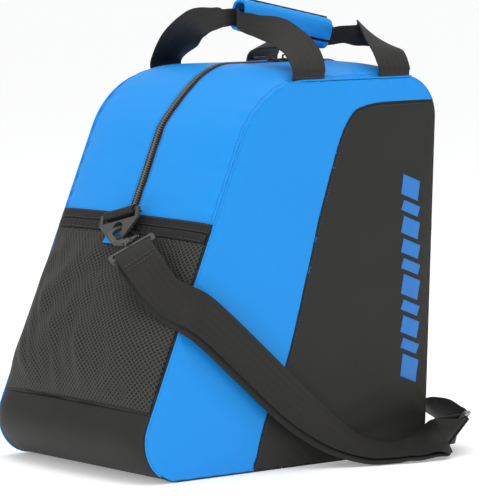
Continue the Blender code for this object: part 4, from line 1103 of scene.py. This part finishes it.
def zip_teeth():
    """The closed chain: teeth from both sides, meeting in turn down the middle."""
    start = distance_at(FRONT_SEAM + TAPE_HEIGHT + 0.001, "front")
    end = distance_at(REAR_SEAM + TAPE_HEIGHT + 0.001, "rear")
    pitch = 0.00135
    verts = []
    faces = []
    for n in range(int((end - start) / pitch)):
        d = start + (n + 0.5) * pitch
        hand = -1 if n % 2 else 1
        out = outward_at(d)
        centre = gusset_point(d, 0.0, GAP)
        run = Vector((out.z, 0.0, -out.x))
        base = len(verts)
        reach = ((-0.0008, 0.00052), (CHAIN_WIDTH / 2, 0.00040))
        for (across, half), low, high in ((reach[0], 0.0003, 0.9), (reach[1], 0.0, 0.72)):
            for a, b in ((-1, low), (1, low), (1, CHAIN * high), (-1, CHAIN * high)):
                verts.append(tuple(centre + Vector((0, hand * across, 0)) + run * (half * a) + out * b))
        ring = [[0, 1, 5, 4], [1, 2, 6, 5], [2, 3, 7, 6], [3, 0, 4, 7], [3, 2, 1, 0], [4, 5, 6, 7]]
        for face in ring:
            order = face if hand > 0 else face[::-1]
            faces.append([base + k for k in order])
    mesh = bpy.data.meshes.new("zip_teeth")
    mesh.from_pydata(verts, [], faces)
    piece = shown("zip_teeth", mesh, "teeth", "bag", ("zip_chain",))
    mesh.polygons.foreach_set("use_smooth", [False] * len(mesh.polygons))
    return piece


# ---------------------------------------------------------------- pocket


def net_point(up, y, top, bottom, edge):
    d = bottom + (top - bottom) * up
    lift = pocket_lift(up, y / edge)
    soft = min(1.0, (1 - abs(y / edge)) * 8) * min(1.0, up * 7) * min(1.0, (1 - up) * 6)
    under_strap = min(1.0, max(0.0, -y / 0.03)) * min(1.0, max(0.0, (up - 0.30) / 0.15))
    folds = 0.0042 * wave(y * 1.6 + up * 0.11, up * 0.16, 19.0, 6.0)
    folds += 0.0022 * wave(y * 2.4 - up * 0.20, up * 0.1, 34.0, 8.0)
    folds *= 1 - 0.75 * under_strap
    pinch = -0.0040 * math.exp(-(((y + 0.080) / 0.016) ** 2) - ((up - 0.05) / 0.09) ** 2)
    gathers = 0.0005 * math.sin(y * 2 * math.pi / 0.011) * fade(1 - up, 0.12)
    return gusset_point(d, y, lift + max(-0.6 * lift, soft * (folds + pinch)) + max(0.0, gathers))


def pocket():
    bottom = distance_at(BASE_SEAM + 0.002, "front")
    top = distance_at(POCKET_TOP - GAP, "front")
    edge = SEAM_Y * 0.985
    ys = spread(-edge, edge, 150)
    rows = [[net_point(up, y, top, bottom, edge) for y in ys] for up in spread(0, 1, 120)]
    net = cloth("net_pocket", rows, MESH * 0.6, "net", FRONT_OUT, ("mesh_pocket",))
    declare_sheet(net)
    rows = []
    for k, height in enumerate(spread(POCKET_TOP, POCKET_TOP + BINDING_HEIGHT, 7)):
        row = []
        for y in spread(-edge, edge, 150):
            t = y / edge
            round_over = -0.0007 * (abs(k - 3) / 3) ** 2
            gathers = 0.0003 * math.sin(y * 2 * math.pi / 0.008 + wave(y, 0, 30.0) * 2)
            lift = BINDING + 2 * GAP + POCKET_MOUTH * (1 - t**4) ** 0.7 + round_over + gathers
            row.append(gusset_point(distance_at(height, "front"), y, lift))
        rows.append(row)
    cloth("pocket_edge", rows, BINDING * 0.9, "trim", FRONT_OUT, ("pocket_binding",), rounding=0.0005)
    height = POCKET_TOP + BINDING_HEIGHT * 0.2
    points = []
    for y in spread(-edge + 0.004, edge - 0.004, 100):
        lift = BINDING + 2 * GAP + POCKET_MOUTH * (1 - (y / edge) ** 4) ** 0.7 - 0.0002
        points.append(gusset_point(distance_at(height, "front"), y, lift))
    stitches("pocket_edge_stitching", points, [FRONT_OUT] * 100, "thread_dark")
    width, tall = PATCH
    across, middle = PATCH_PLACE
    rows = []
    for z in spread(middle - tall / 2, middle + tall / 2 - 0.0015, 16):
        d = distance_at(z, "front")
        up = (d - bottom) / (top - bottom)
        ys = spread(across - width / 2, across + width / 2, 20)
        rows.append([gusset_point(d, y, pocket_lift(up, y / edge) + 0.0024) for y in ys])
    cloth("blue_patch", rows, 0.0010, "blue", FRONT_OUT, ("pocket_patch",), rounding=0.0003)


# ---------------------------------------------------------------- webbing


def webbing(name, centres, width, nodes=(), body="bag", columns=9):
    rows = []
    for i, (point, across) in enumerate(centres):
        size = width[i] if isinstance(width, list) else width
        rows.append([point + across * (size * share) for share in spread(-0.5, 0.5, columns)])
    mesh = from_grid(name, rows)
    piece = shown(name, mesh, "webbing", body, nodes)
    return thicken(piece, WEBBING * 0.92, 0.0, 0.00035)


def straps(clips):
    front, rear = clips
    bar = ADJUSTER_THICKNESS / 2 + 0.0006 + WEBBING / 2
    high = bar + WEBBING + 0.0008
    route = framed(smooth_route(long_route(front), 230))
    threaded = layer(route, strap_spacing, -STRAP_LAG)
    sewn = layer(route, lambda t: -strap_spacing(t))
    point, across, normal, tangent = route[0]
    turn = bar_turn(point, across, -tangent, strap_spacing(0), normal)
    under = ((-0.0190, -0.0010), (-0.0150, -0.0004), (-0.0128, 0.0), (-0.0112, 0.0003))
    over = [(-0.0066, 0.0), (-0.0040, high - 0.001)]
    threading = in_adjuster([(along, lift - bar) for along, lift in under] + over)
    end = in_adjuster([(-0.0190, bar + 0.0010), (-0.0140, bar + 0.0004), (-0.0096, bar)])
    whole = list(reversed(threading)) + list(reversed(threaded[:-4])) + turn + sewn[:-4] + end
    strap = webbing("shoulder_strap_long", whole, STRAP_WIDTH, ("strap_long",), body=None)
    declare_sheet(strap)
    front.strap_bar() + front.hook_axis * 0.060
    front.strap_bar()
    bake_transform(strap)
    for place in (0.022, 0.027):
        point, across, normal, tangent = min(route, key=lambda r: abs((r[0] - route[0][0]).length - place))
        middle = point - normal * (strap_spacing(place / 0.4) + WEBBING / 2)
        ends = [middle + across * s for s in spread(-0.018, 0.018, 24)]
        row = stitches(f"strap_stitching_{int(place * 1000)}", ends, [-normal] * 24, "thread_dark", body=None)
        front.strap_bar() + front.hook_axis * 0.060
        front.strap_bar()
        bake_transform(row)
    across_bar = [(-0.0032, high - 0.0002), (0.0, high + 0.0002), (0.0040, high - 0.001), (0.0068, 0.0)]
    start = in_adjuster([*across_bar, (0.0118, -bar), (0.0150, -bar)])
    route = framed(smooth_route(short_route(rear), 170))
    outer = layer(route, lambda t: bar + (strap_spacing(1 - t) - bar) * min(1.0, 5 * t))
    point, across, normal, tangent = route[-1]
    turn = bar_turn(point, across, tangent, strap_spacing(0), normal)
    tail = []
    for i in range(9):
        spacing = strap_spacing(min(1.0, 0.02 * i))
        tail.append((point - tangent * 0.005 * i - normal * spacing, across))
    strap = webbing(
        "shoulder_strap_short", start + outer + turn + tail, STRAP_WIDTH, ("strap_short",),
        body=None,
    )
    declare_sheet(strap)
    rear.strap_bar() + rear.hook_axis * 0.060
    rear.strap_bar()
    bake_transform(strap)


def ring_tabs(clips):
    for clip in clips:
        matrix = axes(clip.bar, clip.along_bar, clip.towards_eye)
        out = FRONT_OUT if clip.label == "front" else REAR_OUT
        inward = -1.0 if matrix.to_3x3().col[2].dot(out) > 0 else 1.0
        radius = max(RING_BAR, RING) / 2 * 1.25 + 0.0004 + WEBBING / 2
        back = TAB_REACH[clip.label]
        path = [(-0.0006, inward * back), (-0.0006, inward * back * 0.75)]
        for k in range(19):
            angle = math.pi * (-0.5 + 0.2 + k * 0.0625 * 1.15)
            path.append((-radius * math.cos(angle), -inward * radius * math.sin(angle)))
        path += [(0.0040, -inward * 0.0006), (0.0038, inward * back * 0.4), (0.0036, inward * back * 0.72)]
        centres = [(matrix @ Vector((0, along, off)), clip.along_bar) for along, off in path]
        webbing(f"tab_{clip.label}", centres, TAB_WIDTH, (f"ring_tab_{clip.label}",), columns=13)


def handles():
    for label in ("near", "far"):
        side = -1 if label == "near" else 1
        front = handle_leg(label, 0)
        rear = handle_leg(label, 1)
        upright = front[-1][1]
        reach = GRIP_LENGTH * 0.35
        middle = []
        for x in spread(-reach, reach, 4):
            place = grip_frame() @ Vector((x, side * HANDLE_LANE, HANDLE_DROP))
            middle.append((place, upright, HANDLE_WIDTH * HANDLE_FOLD))
        back = [(point, -width, size) for point, width, size in reversed(rear)]
        stations = front + middle + back
        count = 300
        route = framed(smooth_route([(p, w) for p, w, _ in stations], count))
        spans = len(stations) - 1
        sizes = []
        for k in range(count):
            place = spans * k / (count - 1)
            i = min(int(place), spans - 1)
            t = place - i
            t = t * t * (3 - 2 * t)
            sizes.append(stations[i][2] + (stations[i + 1][2] - stations[i][2]) * t)
        centres = [(p, w) for p, w, _, _ in route]
        strap = webbing(f"carry_handle_{label}", centres, sizes, (f"handle_{label}",), columns=11)
        declare_sheet(strap)
        for end in (0, 1):
            x = HANDLE_FEET[label][end]
            y = side * (WIDTH / 2 - 0.0008) + side * WEBBING / 2
            for z in (HEIGHT + 0.0036, HEIGHT + 0.0100):
                leaning = y - side * max(0.0, z - HEIGHT - 0.0016) * 0.09
                row = [Vector((x + dx, leaning, z)) for dx in spread(-0.018, 0.018, 20)]
                out = Vector((0, side, 0))
                stitches(f"foot_stitching_{label}_{end}_{int(z * 1e4)}", row, [out] * 20, "thread_dark")


# ---------------------------------------------------------------- grip


def grip_look():
    frame_here = grip_frame()
    section = rounded(
        [
            (-GRIP_DEPTH / 2, -GRIP_HEIGHT / 2, 0.009),
            (GRIP_DEPTH / 2, -GRIP_HEIGHT / 2, 0.009),
            (GRIP_DEPTH / 2, GRIP_HEIGHT / 2, 0.010),
            (-GRIP_DEPTH / 2, GRIP_HEIGHT / 2, 0.010),
        ],
        4,
    )
    corner = len(section) // 4
    flap_part = section[3 * corner :] + section[:1]
    fixed_part = section[1 : 3 * corner]
    half = GRIP_LENGTH / 2

    def finer(points, count):
        ends = [Vector(p) for p in points]
        total = lengths_along(ends)
        made = []
        for want in spread(0.0, total[-1], count):
            i = min(max(0, sum(1 for d in total if d < want) - 1), len(ends) - 2)
            made.append(ends[i].lerp(ends[i + 1], (want - total[i]) / (total[i + 1] - total[i])))
        return made

    for name, part, body, node, out in (
        ("grip_pad", fixed_part, "bag", "grip_wrap", Vector((0, 1, 0))),
        ("grip_flap_pad", flap_part, "grip_flap", "grip_flap", Vector((0, -1, 0))),
    ):
        profile = finer(part, 34)
        rows = []
        for x in spread(-half, half, 70):
            end = fade(half - abs(x), 0.010)
            row = []
            for k, p in enumerate(profile):
                edge = min(k, len(profile) - 1 - k) / (len(profile) - 1)
                puff = 0.0009 * (1 - fade(edge, 0.16)) - 0.0007 * end
                puff += 0.0006 * wave(x, p.y + p.x, 34.0, 3.0)
                puff += 0.0004 * math.sin(x * 2 * math.pi / 0.013) * fade(edge, 0.25)
                away = p.normalized() * puff
                row.append(frame_here @ Vector((x, p.x + away.x, p.y + away.y)))
            rows.append(row)
        piece = cloth(name, rows, 0.0034, "blue", out, (node,), body, rounding=0.0010)
    top = flap_part[0]
    xs = spread(-half + 0.002, half - 0.002, 60)
    points = [frame_here @ Vector((x, top[0] - 0.0004, top[1] + 0.0010)) for x in xs]
    tube("flap_edge_binding", points, 0.0010, "trim", "grip_flap")
    low = flap_part[-1]
    xs = spread(-half + 0.004, half - 0.004, 60)
    points = [frame_here @ Vector((x, low[0] - 0.0012, low[1] + 0.002)) for x in xs]
    stitches("flap_stitching", points, [Vector((0, -1, 0))] * 60, "thread_blue", "grip_flap")


# ---------------------------------------------------------------- motif


def motif():
    """A column of slanted bars near each rear edge, in place of lettering."""
    lengths = (0.030, 0.013, 0.022, 0.013, 0.026, 0.013, 0.018, 0.022, 0.013, 0.026)
    for label in ("near", "far"):
        side = -1 if label == "near" else 1
        z = 0.078
        for n, tall in enumerate(lengths):
            rows = []
            for a in spread(0.0, 1.0, 14):
                row = []
                for b in spread(0.0, 1.0, 12):
                    x = 0.1600 + 0.024 * b + 0.004 * a
                    height = z + tall * 0.8 * a - 0.009 * (b - 0.5)
                    row.append(side_point(label, x, height, 0.00028))
                rows.append(row)
            cloth(f"bar_{label}_{n}", rows, 0.0002, "print", Vector((0, side, 0)))
            z += tall * 0.8 + 0.0065


# ---------------------------------------------------------------- room, light and camera


FLOOR = 30.0  # half the floor's side


def room():
    world = bpy.data.worlds.new("studio")
    bpy.context.scene.world = world
    world.use_nodes = True
    world.node_tree.nodes["Background"].inputs["Color"].default_value = (1.0, 1.0, 1.0, 1.0)
    world.node_tree.nodes["Background"].inputs["Strength"].default_value = WORLD_LIGHT
    floor_mesh = bpy.data.meshes.new("floor")
    corners = [(-FLOOR, -FLOOR, 0), (FLOOR, -FLOOR, 0), (FLOOR, FLOOR, 0), (-FLOOR, FLOOR, 0)]
    floor_mesh.from_pydata(corners, [], [[0, 1, 2, 3]])
    floor = bpy.data.objects.new("floor", floor_mesh)
    floor.location.z = -0.0010
    bpy.context.scene.collection.objects.link(floor)
    paint = new_material("pale_floor", (0.93, 0.935, 0.945), 0.6)
    shader = paint.node_tree.nodes["Principled BSDF"]
    shader.inputs["Emission Color"].default_value = (1.0, 1.0, 1.0, 1.0)
    shader.inputs["Emission Strength"].default_value = 0.27
    floor_mesh.materials.append(paint)
    for name, place, size, energy in LIGHTS:
        data = bpy.data.lights.new(name, "AREA")
        data.shape = "SQUARE"
        data.size = size
        data.energy = energy
        light = bpy.data.objects.new(name, data)
        light.location = place
        aim = Vector((0.0, 0.0, 0.2)) - Vector(place)
        light.rotation_euler = aim.to_track_quat("-Z", "Y").to_euler()
        bpy.context.scene.collection.objects.link(light)


CAMERA_TURN = math.radians(-39.2)
CAMERA_RISE = math.radians(5.7)
CAMERA_PLACE = (0.037, 0.216, 3.697)  # to the right, up and back from the origin
LENS = 249.8


def camera():
    right = Vector((math.cos(CAMERA_TURN), math.sin(CAMERA_TURN), 0))
    level = Vector((right.y, -right.x, 0))
    back = level * math.cos(CAMERA_RISE) + Vector((0, 0, math.sin(CAMERA_RISE)))
    up = back.cross(right)
    data = bpy.data.cameras.new("camera")
    data.sensor_width = 36.0
    data.lens = LENS
    eye = bpy.data.objects.new("camera", data)
    turned = Matrix((right, up, back)).transposed()
    eye.matrix_world = Matrix.Translation(turned @ Vector(CAMERA_PLACE)) @ turned.to_4x4()
    bpy.context.scene.collection.objects.link(eye)
    bpy.context.scene.camera = eye


WORLD_LIGHT = 0.74
LIGHTS = (
    ("overhead", (-0.2, -0.3, 2.4), 2.2, 28.0),
    ("left_box", (-2.4, -1.0, 1.3), 1.8, 15.0),
    ("right_box", (1.2, -2.6, 1.2), 1.8, 5.0),
)

shell()
zip_teeth()
pocket()
clips = [front_clip(), rear_clip()]
straps(clips)
ring_tabs(clips)
grip_look()
handles()
motif()
room()
camera()
bpy.context.scene.view_settings.view_transform = "Standard"
